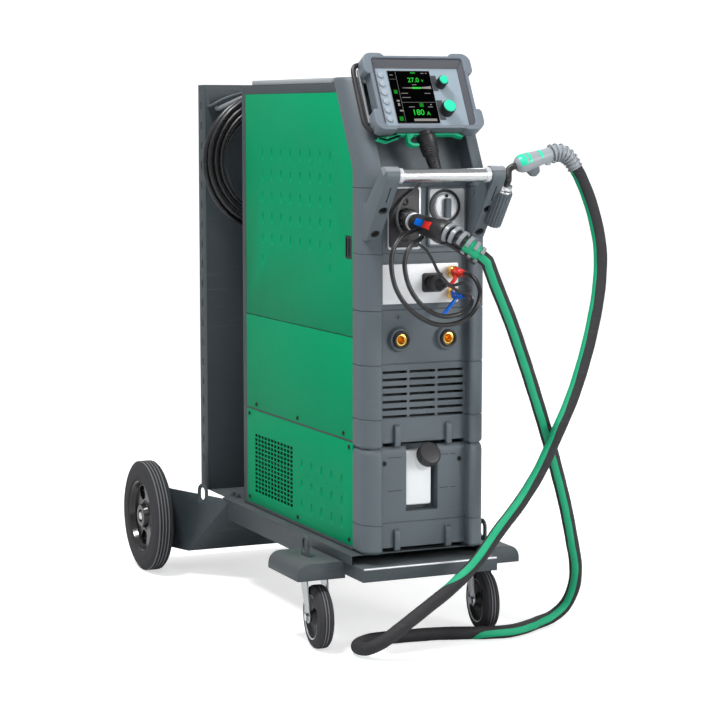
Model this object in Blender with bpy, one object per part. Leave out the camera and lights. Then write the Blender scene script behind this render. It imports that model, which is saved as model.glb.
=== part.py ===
"""Wire-feed welder with its cooler on a wheeled cart.

Metres, +Z up. The front looks along -Y and the door side along -X. Everything hangs on the
empty "floor_point", which puts the origin on the floor under the middle of the rigid cart.
Inside that empty, Y = 0 is the front of the corner columns and Z = 0 the floor.
"""
import math

import bmesh
import bpy
from mathutils import Matrix, Vector

MM = 0.001
GAP = 0.3 * MM                       # between pieces that touch

# ---------------------------------------------------------------- driving sizes, housing
BODY_W = 260 * MM                    # over both side panels
BODY_REAR = 640 * MM                 # Y of the rear face
PANEL_T = 3 * MM                     # side panels with their paint and folded edge
FRONT_DEPTH = 60 * MM                # the plastic front reaches back to here
CORNER_R = 30 * MM                   # outer corners of the front columns
COLUMN_LIP_R = 7 * MM                # inner corners of the front columns
COLUMN_W = 38 * MM                   # a front column across
CENTRE_SET = 22 * MM                 # the centre panel stands back behind the columns

SADDLE_TOP = 195 * MM                # top of the cart's platform
COOLER_H = 212.4 * MM                # cooler, foot to top
MAIN_BASE = SADDLE_TOP + COOLER_H + 2 * GAP
MAIN_TOP = 1106 * MM
FRAME_TOP = MAIN_TOP - 12 * MM       # top of the housing frame, under the tray
DOOR_SPLIT = 611 * MM                # door above, fixed panel below
GREEN_TOP = MAIN_TOP - 29 * MM       # upper edge of the side panels
SLOPE_Z = 932 * MM                   # the front leans back above this height
SLOPE = 0.527                        # run over rise of the sloping front
FRONT_SEAM = 772 * MM                # lower and upper front mouldings meet here
FEET_DROP = 8 * MM                   # the columns stand lower than the centre panel
REAR_STRIP = 20 * MM                 # dark frame left open behind the side panels
TRAY_FRONT = FRONT_DEPTH + (MAIN_TOP - SLOPE_Z) * SLOPE + 38.3 * MM    # loose-parts tray on top
GLAND_X = 60 * MM                    # mains gland on the rear
GLAND_Z = 600 * MM
GLAND_REACH = 34 * MM

# ---------------------------------------------------------------- front fittings
SOCKET_X = 50 * MM
SOCKET_Z = 607 * MM
SOCKET_D = 34 * MM
SOCKET_BORE = 13 * MM
SOCKET_REACH = 16 * MM
VENT_ROWS = 7
VENT_PITCH = 14.3 * MM
VENT_LOW = 456 * MM
VENT_H = 5 * MM
VENT_HALF = 88 * MM
VENT_RIB_X = 30 * MM
VENT_RIB_W = 5 * MM
VENT_DEPTH = 14 * MM
BUMPER_X = 55 * MM
BUMPER_W = 12 * MM
BUMPER_PROUD = 8 * MM
SWITCH_X = 44 * MM
SWITCH_Z = 860 * MM
SWITCH_D = 52 * MM
SWITCH_T = 18 * MM
SWITCH_PLATE_T = 4 * MM
PLUG_X = -40 * MM                    # torch connector on the front
PLUG_Z = 838 * MM
COUPLING_X = 61 * MM
COUPLING_RED_Z = 734 * MM
COUPLING_BLUE_Z = 692 * MM
MULTI_X = 19 * MM
MULTI_Z = 714 * MM

# ---------------------------------------------------------------- handle
TUBE_D = 24 * MM
TUBE_Y = -80 * MM
TUBE_Z = 922 * MM
TUBE_HALF = 96 * MM
ARM_T = 28 * MM
ARM_END_R = 17 * MM
ARM_FOOT_LOW = 798 * MM
HOLDER_D = 33 * MM
HOLDER_BORE = 21 * MM
HOLDER_LEN = 82 * MM

# ---------------------------------------------------------------- control box
BOX_W = 206 * MM
BOX_H = 156 * MM
BOX_D = 44 * MM
BOX_Y = 22 * MM
BOX_Z = 1078 * MM
BOX_RIM = 12 * MM
BOX_RECESS = 10 * MM
BOX_GUARD = 6 * MM                   # the corners stand out by this much
BOX_LEAN = math.atan(SLOPE)          # the box is parallel to the sloping front
BOX_GLAND = 60 * MM
BOX_GLAND_ROOT = (2 * MM, 22 * MM, 1 * MM - BOX_H / 2)
BOX_GLAND_AIM = (0.15, 0.275, -0.95)
BUTTON_D = 12 * MM
BUTTON_COUNT = 6
BUTTON_PITCH = 18.7 * MM
BUTTON_X = -78 * MM
BUTTON_MIDDLE = -7.6 * MM            # of the column, up the box's face
BUTTON_SUNK = 2.5 * MM               # a button's foot stands this far down its well
BUTTON_WELL = 4 * MM
KNOB_X = 44 * MM
KNOB_SMALL_D = 20 * MM
KNOB_LARGE_D = 27 * MM
KNOB_SMALL_UP = 20.5 * MM
KNOB_LARGE_UP = -35.5 * MM
KNOB_REACH = 22 * MM
BAY_HALF = 96 * MM                   # opening between the pillars, behind the box
BAY_LOW = 905 * MM
BAY_DEPTH = 50 * MM
BAR_D = 7 * MM
BAR_OUT = 17 * MM                    # grab bars stand this far off the box's sides

# ---------------------------------------------------------------- cooler
WINDOW_HALF = 34 * MM
WINDOW_LOW = 272 * MM
WINDOW_HIGH = 392 * MM
WINDOW_DEPTH = 30 * MM
CAP_D = 46 * MM
CAP_T = 22 * MM
CAP_TILT = math.radians(28)
GRILLE_COLUMNS = 9
GRILLE_ROWS = 11
GRILLE_PITCH_Y = 23.7 * MM
GRILLE_PITCH_Z = 11.6 * MM
GRILLE_HOLE_Y = 18 * MM
GRILLE_HOLE_Z = 8.4 * MM
GRILLE_FRONT = 361 * MM
GRILLE_LOW = 230 * MM

# ---------------------------------------------------------------- cart
SHEET = 3 * MM
PLATFORM_HALF = 150 * MM
RAIL_LOW = 150 * MM
RAIL_END = 690 * MM
PLATFORM_END = 872 * MM
CROSS_TOP = 175 * MM
CROSS_FRONT = -20 * MM
CROSS_HALF = 144 * MM
CROSS_SKIRT = 26 * MM
EAR_FRONT = 70 * MM
EAR_REAR = 224 * MM
EAR_HALF = 241 * MM
EAR_SKIRT = 34 * MM
EAR_BEND_R = 24 * MM
LUG_W = 33 * MM
LUG_H = 45 * MM
LUG_T = 5 * MM
LUG_HOLE_R = 8 * MM
LUG_REAR_Y = 785 * MM
CASTER_X = 180 * MM
CASTER_Y = 143 * MM
CASTER_WHEEL_D = 125 * MM
CASTER_WHEEL_W = 32 * MM
CASTER_TRAIL = 42 * MM
CASTER_REST = math.radians(6)
TRAY_FLOOR = 57 * MM
TRAY_FLARE_END = 893 * MM
TRAY_REAR = 1030 * MM
TRAY_FRONT_HALF = 140 * MM
TRAY_REAR_HALF = 213 * MM
TRAY_SLANT_FOOT = 832 * MM
AXLE_Y = 940 * MM
AXLE_D = 20 * MM
WHEEL_D = 250 * MM
WHEEL_W = 48 * MM
TREAD_GROOVES = 4
TREAD_PITCH = 7.2 * MM
WHEEL_FACE = 272 * MM                # X of the rear wheels' outer faces
COLUMN_Y = 825 * MM
COLUMN_HALF = 145 * MM
COLUMN_FLANGE = 45 * MM
COLUMN_TOP = 1100 * MM
HOOK_D = 8 * MM

# ---------------------------------------------------------------- wire feeder
BAY_WALL_X = 118 * MM - BODY_W / 2   # face of the wall that carries the feeder
WIRE_X = BAY_WALL_X - 28 * MM        # plane of the wire, on the torch connector's axis
ROLL_PITCH_R = 16 * MM
ROLL_TEETH = 16
ROLL_BORE = 8.6 * MM
ROLL_SHAFT = 8 * MM
ROLL_YS = (112 * MM, 165 * MM)
ARM_PIVOT_Y = 198 * MM
ARM_PIVOT_Z = 866 * MM
SPOOL_D = 300 * MM
SPOOL_W = 98 * MM
SPOOL_BORE = 51 * MM
SPOOL_Y = 440 * MM
SPOOL_Z = MAIN_TOP - 220 * MM

# ---------------------------------------------------------------- hoses and leads
HOSE_D = 26 * MM
WATER_D = 9 * MM
PANEL_LEAD_D = 6 * MM
MAINS_D = 12 * MM
COIL_X = -20 * MM
COIL_Y = 752 * MM
COIL_Z = 933 * MM
COIL_OUTER = 150 * MM                # centre line of the outermost loop
COIL_STEP = 13 * MM
COIL_TURNS_IN = 3                    # turns in each of the two layers
COIL_LAYER = 13 * MM
COIL_DIP = 3 * MM                    # the crossing loop runs inside the others

FRONT_MOST = TUBE_Y - ARM_END_R
REAR_MOST = AXLE_Y + WHEEL_D / 2
MIDDLE_Y = (FRONT_MOST + REAR_MOST) / 2


def clear_scene():
    for obj in list(bpy.data.objects):
        bpy.data.objects.remove(obj, do_unlink=True)


def material(name, colour, roughness, metallic=0.0):
    mat = bpy.data.materials.new(name)
    mat.use_nodes = True
    shader = mat.node_tree.nodes["Principled BSDF"]
    shader.inputs["Base Color"].default_value = (*colour, 1.0)
    shader.inputs["Roughness"].default_value = roughness
    shader.inputs["Metallic"].default_value = metallic
    return mat


clear_scene()
GREEN = material("green_paint", (0.0, 0.35, 0.16), 0.4)
DARK = material("dark_sheet_paint", (0.05, 0.06, 0.065), 0.5)
GREY = material("grey_moulding", (0.17, 0.2, 0.22), 0.55)
ALLOY = material("brushed_tube", (0.75, 0.76, 0.78), 0.3, 1.0)
ZINC = material("zinc_plate", (0.6, 0.62, 0.63), 0.35, 1.0)
BLACK = material("black_plastic", (0.015, 0.015, 0.018), 0.5)
RUBBER = material("rubber", (0.03, 0.03, 0.035), 0.75)
WHITE = material("white_tank", (0.75, 0.78, 0.8), 0.4)
MINT = material("mint_plastic", (0.05, 0.65, 0.42), 0.4)
RED = material("red_plastic", (0.75, 0.03, 0.02), 0.4)
BLUE = material("blue_plastic", (0.0, 0.12, 0.6), 0.4)
COPPER = material("welding_wire", (0.7, 0.32, 0.15), 0.35, 1.0)


def empty(name, location, parent=None):
    obj = bpy.data.objects.new(name, None)
    bpy.context.scene.collection.objects.link(obj)
    obj.location = location
    obj.parent = parent
    return obj


FLOOR_POINT = empty("floor_point", (0, -MIDDLE_Y, 0))
BOX_POINT = empty("control_box_point", (0, BOX_Y, BOX_Z), FLOOR_POINT)
BOX_POINT.rotation_euler = (-BOX_LEAN, 0, 0)


def piece(name, bm, mat, parent=None, at=(0, 0, 0)):
    """Turn a bmesh into a named object; its mesh is drawn round the point `at`."""
    bmesh.ops.recalc_face_normals(bm, faces=bm.faces)
    mesh = bpy.data.meshes.new(name)
    bm.to_mesh(mesh)
    bm.free()
    mesh.transform(Matrix.Translation(-Vector(at)))
    mesh.materials.append(mat)
    mesh.shade_smooth()
    mesh.set_sharp_from_angle(angle=math.radians(35))
    obj = bpy.data.objects.new(name, mesh)
    bpy.context.scene.collection.objects.link(obj)
    obj.parent = parent or FLOOR_POINT
    obj.location = at
    return obj


def boolean(obj, bm, operation, suffix):
    """Cut `bm` out of an object, or fuse it on, with a wire guide that stays out of the model."""
    guide = piece(f"{obj.name}_{suffix}", bm, DARK, obj.parent)
    guide.hide_render = True
    guide.display_type = "WIRE"
    mod = obj.modifiers.new(suffix, "BOOLEAN")
    mod.operation = operation
    mod.solver = "EXACT"
    mod.object = guide


def cut(obj, bm, suffix):
    boolean(obj, bm, "DIFFERENCE", suffix)


def fuse(obj, bm, suffix):
    boolean(obj, bm, "UNION", suffix)


def keep_common(obj, bm, suffix):
    boolean(obj, bm, "INTERSECT", suffix)


# ---------------------------------------------------------------- shapes
def add_block(bm, low, high):
    size = [h - l for l, h in zip(low, high)]
    middle = [(h + l) / 2 for l, h in zip(low, high)]
    matrix = Matrix.Translation(middle) @ Matrix.Diagonal((*size, 1))
    bmesh.ops.create_cube(bm, size=1, matrix=matrix)
    return bm


def block(low, high):
    return add_block(bmesh.new(), low, high)


def blocks(pairs):
    bm = bmesh.new()
    for low, high in pairs:
        add_block(bm, low, high)
    return bm


def add_prism(bm, outline, axis, low, high):
    """Extrude a flat outline along an axis. Outline pairs follow the X, Y, Z order."""
    def place(a, b, c):
        return {"X": (c, a, b), "Y": (a, c, b), "Z": (a, b, c)}[axis]
    face = bm.faces.new([bm.verts.new(place(a, b, low)) for a, b in outline])
    grown = bmesh.ops.extrude_face_region(bm, geom=[face])
    verts = [g for g in grown["geom"] if isinstance(g, bmesh.types.BMVert)]
    bmesh.ops.translate(bm, verts=verts, vec=Vector(place(0, 0, high - low)))
    return bm


def prism(outline, axis, low, high):
    return add_prism(bmesh.new(), outline, axis, low, high)


def add_turned(bm, profile, steps, centre=(0, 0, 0), axis=(0, 0, 1), closed=False):
    """Turn (radius, height) points round an axis through `centre`."""
    turn = Vector((0, 0, 1)).rotation_difference(Vector(axis)).to_matrix().to_4x4()
    place = Matrix.Translation(centre) @ turn
    rings = []
    for radius, height in profile:
        if radius == 0:
            rings.append([bm.verts.new(place @ Vector((0, 0, height)))])
            continue
        ring = []
        for k in range(steps):
            a = 2 * math.pi * k / steps
            point = Vector((radius * math.cos(a), radius * math.sin(a), height))
            ring.append(bm.verts.new(place @ point))
        rings.append(ring)
    pairs = list(zip(rings, rings[1:]))
    if closed:
        pairs.append((rings[-1], rings[0]))
    for lower, upper in pairs:
        for k in range(steps):
            n = (k + 1) % steps
            if len(lower) == 1:
                bm.faces.new((lower[0], upper[k], upper[n]))
            elif len(upper) == 1:
                bm.faces.new((lower[k], lower[n], upper[0]))
            else:
                bm.faces.new((lower[k], lower[n], upper[n], upper[k]))
    return bm


def turned(profile, steps, centre=(0, 0, 0), axis=(0, 0, 1), closed=False):
    return add_turned(bmesh.new(), profile, steps, centre, axis, closed)


def rod(radius, start, end, steps=16):
    start, end = Vector(start), Vector(end)
    length = (end - start).length
    return turned([(0, 0), (radius, 0), (radius, length), (0, length)], steps, start, end - start)


def lofted(rings):
    """Join rings of equal count and close both ends."""
    bm = bmesh.new()
    rows = [[bm.verts.new(p) for p in ring] for ring in rings]
    for lower, upper in zip(rows, rows[1:]):
        for k in range(len(lower)):
            n = (k + 1) % len(lower)
            bm.faces.new((lower[k], lower[n], upper[n], upper[k]))
    bm.faces.new(rows[0])
    bm.faces.new(rows[-1])
    return bm


def swept(points, radii, sides):
    """Round body through points with a radius at each; ends closed."""
    pts = [Vector(p) for p in points]
    rings = []
    normal = None
    for k, point in enumerate(pts):
        ahead = pts[min(k + 1, len(pts) - 1)] - pts[max(k - 1, 0)]
        ahead.normalize()
        if normal is None:
            seed = Vector((0, 0, 1)) if abs(ahead.z) < 0.9 else Vector((1, 0, 0))
            normal = ahead.cross(seed).normalized()
        normal = (normal - ahead * normal.dot(ahead)).normalized()
        other = ahead.cross(normal)
        ring = []
        for s in range(sides):
            a = 2 * math.pi * s / sides
            ring.append(point + (normal * math.cos(a) + other * math.sin(a)) * radii[k])
        rings.append(ring)
    return lofted(rings)


def arc(centre, radius, start, end, count):
    """Points on an arc; angles in degrees."""
    points = []
    for k in range(count + 1):
        a = math.radians(start + (end - start) * k / count)
        points.append((centre[0] + radius * math.cos(a), centre[1] + radius * math.sin(a)))
    return points


def smooth_route(points, spacing):
    """Even points along a Catmull-Rom curve through `points`."""
    pts = [Vector(p) for p in points]
    pts = [pts[0] * 2 - pts[1]] + pts + [pts[-1] * 2 - pts[-2]]
    fine = []
    for p0, p1, p2, p3 in zip(pts, pts[1:], pts[2:], pts[3:]):
        for k in range(24):
            t = k / 24
            fine.append(0.5 * (2 * p1 + (p2 - p0) * t + (2 * p0 - 5 * p1 + 4 * p2 - p3) * t * t
                               + (3 * p1 - p0 - 3 * p2 + p3) * t ** 3))
    fine.append(pts[-2])
    lengths = [(b - a).length for a, b in zip(fine, fine[1:])]
    total = route_length(fine)
    count = max(4, round(total / spacing))
    even, walked, index = [], 0.0, 0
    for k in range(count + 1):
        target = min(total * k / count, total - 1e-9)
        while walked + lengths[index] < target:
            walked += lengths[index]
            index += 1
        even.append(fine[index].lerp(fine[index + 1], (target - walked) / lengths[index]))
    return even, total


def route_length(points):
    return sum((b - a).length for a, b in zip(points, points[1:]))


def tube_along(name, points, diameter, mat, resolution, parent=None):
    curve = bpy.data.curves.new(name, "CURVE")
    curve.dimensions = "3D"
    curve.bevel_depth = diameter / 2
    curve.bevel_resolution = resolution
    curve.render_resolution_u = 0
    curve.use_fill_caps = True
    spline = curve.splines.new("POLY")
    spline.points.add(len(points) - 1)
    for target, point in zip(spline.points, points):
        target.co = (*point, 1)
    curve.materials.append(mat)
    obj = bpy.data.objects.new(name, curve)
    bpy.context.scene.collection.objects.link(obj)
    obj.parent = parent or FLOOR_POINT
    return obj


# ---------------------------------------------------------------- cart
def cart_platform():
    half, low = PLATFORM_HALF, RAIL_LOW
    profile = [(-half, low), (-half, SADDLE_TOP), (half, SADDLE_TOP), (half, low),
               (half - SHEET, low), (half - SHEET, SADDLE_TOP - SHEET),
               (SHEET - half, SADDLE_TOP - SHEET), (SHEET - half, low)]
    front = CENTRE_SET + 2 * MM
    platform = piece("cart_platform", prism(profile, "Y", front, PLATFORM_END), DARK)
    beyond = 5 * MM
    rear_plate_half = TRAY_FRONT_HALF
    trims = []
    for side in (-1, 1):
        inner, outer = side * (half - 2 * SHEET), side * (half + beyond)
        trims.append(((min(inner, outer), front - beyond, low - beyond),
                      (max(inner, outer), EAR_REAR + 1 * MM, CROSS_TOP + GAP)))
        trims.append(((min(inner, outer), RAIL_END, low - beyond),
                      (max(inner, outer), PLATFORM_END + beyond, SADDLE_TOP - SHEET)))
        edge = side * rear_plate_half
        trims.append(((min(edge, outer), RAIL_END + 30 * MM, SADDLE_TOP - SHEET - beyond / 2),
                      (max(edge, outer), PLATFORM_END + beyond, SADDLE_TOP + beyond)))
    for index, pair in enumerate(trims):
        cut(platform, block(*pair), f"trim_{index}")


def front_crossmember():
    def ear_profile(shrink, low):
        half, top, bend = EAR_HALF - shrink, CROSS_TOP - shrink, EAR_BEND_R - shrink
        right = arc((half - bend, top - bend), bend, 0, 90, 5)
        left = arc((bend - half, top - bend), bend, 90, 180, 5)
        return [(half, low)] + right + left + [(-half, low)]

    low = CROSS_TOP - EAR_SKIRT
    cross = piece("front_crossmember",
                  prism(ear_profile(0, low), "Y", EAR_FRONT, EAR_REAR), DARK)
    centre_low = CROSS_TOP - CROSS_SKIRT
    fuse(cross, block((-CROSS_HALF, CROSS_FRONT, centre_low),
                      (CROSS_HALF, EAR_REAR - 20 * MM, CROSS_TOP)), "centre")
    cut(cross, prism(ear_profile(SHEET, low - SHEET), "Y",
                     EAR_FRONT + SHEET, EAR_REAR - SHEET), "ear_hollow")
    cut(cross, block((SHEET - CROSS_HALF, CROSS_FRONT + SHEET, low - SHEET),
                     (CROSS_HALF - SHEET, EAR_REAR - 40 * MM, CROSS_TOP - SHEET)), "centre_hollow")
    for side in (-1, 1):
        head_top = CROSS_TOP - SHEET + 1 * MM
        boss = [(0, 0), (34 * MM, 0), (34 * MM, 8 * MM), (0, 8 * MM)]
        fuse(cross, turned(boss, 16, (side * CASTER_X, CASTER_Y, head_top - 8 * MM)),
             f"swivel_head_{'left' if side < 0 else 'right'}")
        add_lug(cross, "left" if side < 0 else "right",
                (side * (CASTER_X + 15 * MM), CASTER_Y, CROSS_TOP), LUG_T, 0)


def add_lug(carrier, word, foot, thick, turn):
    """Fuse a lashing eye on a sheet: a plate on edge with an oval eye through it."""
    place = Matrix.Translation(foot) @ Matrix.Rotation(turn, 4, "Z")
    half = LUG_W / 2
    outline = [(-half, -2 * MM), (half, -2 * MM), (half, LUG_H - half)]
    outline += arc((0, LUG_H - half), half, 0, 180, 8)[1:]
    plate = prism(outline, "X", -thick / 2, thick / 2)
    plate.transform(place)
    fuse(carrier, plate, f"lug_{word}")
    eye = arc((0, LUG_H - half), LUG_HOLE_R, 0, 180, 6)
    eye += arc((0, LUG_H - half - 12 * MM), LUG_HOLE_R, 180, 360, 6)
    hole = prism(eye, "X", -thick, thick)
    hole.transform(place)
    cut(carrier, hole, f"eye_{word}")


def bottle_tray():
    def side_profile(shrink, top):
        floor = TRAY_FLOOR + shrink
        return [(RAIL_END + 5 * MM + 1.5 * shrink, top), (TRAY_SLANT_FOOT + shrink, floor),
                (TRAY_REAR + 2 * shrink, floor), (TRAY_REAR + 2 * shrink, top)]

    def plan(shrink):
        front, rear = TRAY_FRONT_HALF - shrink, TRAY_REAR_HALF - shrink
        start, end = RAIL_END, TRAY_REAR + 10 * MM
        right = [(front, start), (rear, TRAY_FLARE_END), (rear, end)]
        return [(-x, y) for x, y in reversed(right)] + right

    top = SADDLE_TOP - SHEET - GAP
    above = 20 * MM
    tray = piece("bottle_tray", prism(side_profile(0, top), "X",
                                      -TRAY_REAR_HALF - above, TRAY_REAR_HALF + above), DARK)
    keep_common(tray, prism(plan(0), "Z", 0, top + above), "flare")
    hollow = piece("bottle_tray_room", prism(side_profile(SHEET, top + above), "X",
                                             -TRAY_REAR_HALF, TRAY_REAR_HALF), DARK)
    hollow.hide_render = True
    hollow.display_type = "WIRE"
    room = hollow.modifiers.new("flare", "BOOLEAN")
    room.operation = "INTERSECT"
    room.solver = "EXACT"
    flare = piece("bottle_tray_room_flare", prism(plan(SHEET), "Z", 0, top + 2 * above), DARK)
    flare.hide_render = True
    flare.display_type = "WIRE"
    room.object = flare
    carve = tray.modifiers.new("room", "BOOLEAN")
    carve.operation = "DIFFERENCE"
    carve.solver = "EXACT"
    carve.object = hollow
    fall = [(AXLE_Y + 35 * MM, top + above), (TRAY_REAR + above, TRAY_FLOOR + 22 * MM),
            (TRAY_REAR + above, top + above)]
    cut(tray, prism(fall, "X", -TRAY_REAR_HALF - above, TRAY_REAR_HALF + above), "fall")
    flare = math.atan2(TRAY_REAR_HALF - TRAY_FRONT_HALF, TRAY_FLARE_END - RAIL_END)
    lug_x = TRAY_FRONT_HALF + (LUG_REAR_Y - RAIL_END) * math.tan(flare) - SHEET / 2
    for side in (-1, 1):
        word = "left" if side < 0 else "right"
        inner = side * (TRAY_REAR_HALF - 1.5 * MM)
        outer = side * (WHEEL_FACE - 12 * MM)
        axle = rod(AXLE_D / 2, (inner, AXLE_Y, WHEEL_D / 2), (outer, AXLE_Y, WHEEL_D / 2), 20)
        fuse(tray, axle, f"stub_{word}")
        add_lug(tray, word, (side * lug_x, LUG_REAR_Y, top - 20 * MM), SHEET * 0.98, -side * flare)


def rear_wheel(side):
    """Tyre with four tread grooves on a dished disc with a domed hub; turned round X."""
    name = "rear_wheel_left" if side < 0 else "rear_wheel_right"
    radius, bore = WHEEL_D / 2, AXLE_D / 2 + 0.4 * MM
    shoulder, rim, disc = radius - 9 * MM, radius - 41 * MM, radius - 47 * MM
    profile = [(0, 37 * MM), (bore, 37 * MM), (bore, 4 * MM), (26 * MM, 4 * MM), (28 * MM, 15 * MM),
               (disc, 15 * MM), (rim, 2 * MM), (shoulder, 2 * MM), (radius, 9 * MM)]
    for k in range(TREAD_GROOVES):
        start = 12 * MM + TREAD_PITCH * k
        profile += [(radius, start), (radius - 3 * MM, start + 1.6 * MM), (radius, start + 3.2 * MM)]
    profile += [(radius, 40 * MM), (shoulder, WHEEL_W - 1 * MM), (rim, WHEEL_W), (disc, 32 * MM),
                (30 * MM, 34 * MM), (26 * MM, 43 * MM), (0, 47 * MM)]
    centre = (side * (WHEEL_FACE - WHEEL_W), AXLE_Y, radius)
    piece(name, turned(profile, 20, centre, (side, 0, 0)), RUBBER, at=centre)


def caster(side):
    name = "left" if side < 0 else "right"
    swivel = Vector((side * CASTER_X, CASTER_Y, 0))
    heading = Vector((math.sin(CASTER_REST), math.cos(CASTER_REST), 0))
    hub = swivel - heading * CASTER_TRAIL
    hub.z = CASTER_WHEEL_D / 2
    top = CROSS_TOP - SHEET + 1 * MM - 8 * MM - GAP
    turn = Matrix.Translation(swivel) @ Matrix.Rotation(-CASTER_REST, 4, "Z")

    def leg_outline():
        reach = -CASTER_TRAIL
        eye = 12 * MM
        crown = top - 14 * MM
        points = [(-26 * MM, top - 2 * MM), (-30 * MM, crown), (reach - eye, CASTER_WHEEL_D / 2)]
        points += arc((reach, CASTER_WHEEL_D / 2), eye, 180, 360, 4)[1:]
        points += [(24 * MM, crown), (20 * MM, top - 2 * MM)]
        return points

    inner = CASTER_WHEEL_W / 2 + 3 * MM
    steel = 3 * MM
    bm = turned([(0, top - 12 * MM), (30 * MM, top - 12 * MM), (32 * MM, top - 8 * MM),
                 (32 * MM, top), (0, top)], 16)
    bm.transform(turn)
    fork = piece(f"caster_fork_{name}", bm, ZINC, at=(swivel.x, swivel.y, top))
    for word, sign in (("a", -1), ("b", 1)):
        low, high = sorted((sign * inner, sign * (inner + steel)))
        leg = prism(leg_outline(), "X", low, high)
        leg.transform(turn)
        fuse(fork, leg, f"leg_{word}")
    pin = rod(5 * MM, (-inner - 7 * MM, -CASTER_TRAIL, hub.z), (inner + 7 * MM, -CASTER_TRAIL, hub.z), 10)
    pin.transform(turn)
    fuse(fork, pin, "wheel_bolt")

    radius, half = CASTER_WHEEL_D / 2, CASTER_WHEEL_W / 2
    bore = 5.4 * MM
    profile = [(bore, -half - 2 * MM), (12 * MM, -half - 2 * MM), (14 * MM, 6 * MM - half),
               (38 * MM, 6 * MM - half), (43 * MM, -half), (54 * MM, -half), (radius, -half * 0.4)]
    profile += [(r, -h) for r, h in reversed(profile)]
    wheel = turned(profile, 18, (0, -CASTER_TRAIL, radius), (1, 0, 0), closed=True)
    wheel.transform(turn)
    piece(f"caster_wheel_{name}", wheel, RUBBER, at=hub)


def bottle_column():
    half, front, rear = COLUMN_HALF, COLUMN_Y, COLUMN_Y + COLUMN_FLANGE
    outline = [(-half, rear), (-half, front), (half, front), (half, rear), (half - SHEET, rear),
               (half - SHEET, front + SHEET), (SHEET - half, front + SHEET), (SHEET - half, rear)]
    column = piece("bottle_column",
                   prism(outline, "Z", SADDLE_TOP + GAP, COLUMN_TOP), DARK)
    inner = COIL_OUTER - COIL_TURNS_IN * COIL_STEP - COIL_DIP - MAINS_D / 2
    hook_z = COIL_Z + inner - HOOK_D / 2 - 1 * MM
    rise = [(-half + 8 * MM, front + 1.5 * MM, 1052 * MM), (-half + 12 * MM, front - 12 * MM, 1055 * MM),
            (-100 * MM, front - 22 * MM, 1072 * MM), (COIL_X - 24 * MM, front - 24 * MM, 1086 * MM),
            (COIL_X - 7 * MM, front - 24 * MM, 1077 * MM), (COIL_X, front - 27 * MM, hook_z + 14 * MM)]
    prong = [(COIL_X, front - 36 * MM, hook_z), (COIL_X, COIL_Y, hook_z),
             (COIL_X, COIL_Y - 34 * MM, hook_z), (COIL_X, COIL_Y - 46 * MM, hook_z + 10 * MM),
             (COIL_X, COIL_Y - 50 * MM, hook_z + 24 * MM)]
    route, _ = smooth_route(rise + prong, 14 * MM)
    fuse(column, swept(route, [HOOK_D / 2] * len(route), 8), "cable_hook")


# ---------------------------------------------------------------- fronts and sides
def lean(z):
    """How far the sloping front has moved back at height z."""
    return max(0.0, z - SLOPE_Z) * SLOPE


def front_ring(z, inset, back):
    """Plan of the plastic front at one height: round columns and a recessed centre."""
    half = BODY_W / 2
    shift = lean(z)
    left = [(-half + inset, back), (-half + inset, CORNER_R)]
    left += arc((CORNER_R - half, CORNER_R), CORNER_R - inset, 180, 270, 4)[1:]
    edge = COLUMN_W - half
    left += arc((edge - COLUMN_LIP_R, COLUMN_LIP_R), COLUMN_LIP_R - inset, 270, 360, 2)
    left += [(edge - inset, CENTRE_SET + inset)]
    right = [(-x, y) for x, y in reversed(left)]
    return [(x, y + shift, z) for x, y in left + right]


def stacked_front(name, levels, back=FRONT_DEPTH):
    """Loft the plan through (height, inset) levels; a pair of insets makes a seam groove."""
    return piece(name, lofted([front_ring(z, inset, back) for z, inset in levels]), GREY)


def seam(z):
    return [(z - 1.2 * MM, 0), (z, 1.2 * MM), (z + 1.2 * MM, 0)]


def bumpers(target, low, high):
    """Two upright ribs on the lower edge of a front."""
    for word, side in (("left", -1), ("right", 1)):
        middle = side * BUMPER_X
        front = CENTRE_SET - BUMPER_PROUD
        outline = [(CENTRE_SET + 1 * MM, high), (front + 2 * MM, high - 4 * MM),
                   (front, high - 10 * MM), (front, low + 3 * MM), (front + 3 * MM, low),
                   (CENTRE_SET + 1 * MM, low)]
        fuse(target, prism(outline, "X", middle - BUMPER_W / 2, middle + BUMPER_W / 2),
             f"bumper_{word}")


def foot_line(target, low):
    """Take the lower edge of the centre panel away, so that only the columns reach down."""
    half = BODY_W / 2 - COLUMN_W - 0.5 * MM
    cut(target, block((-half, -FRONT_DEPTH, low - FEET_DROP),
                      (half, FRONT_DEPTH * 2, low + FEET_DROP)), "foot_line")


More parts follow.
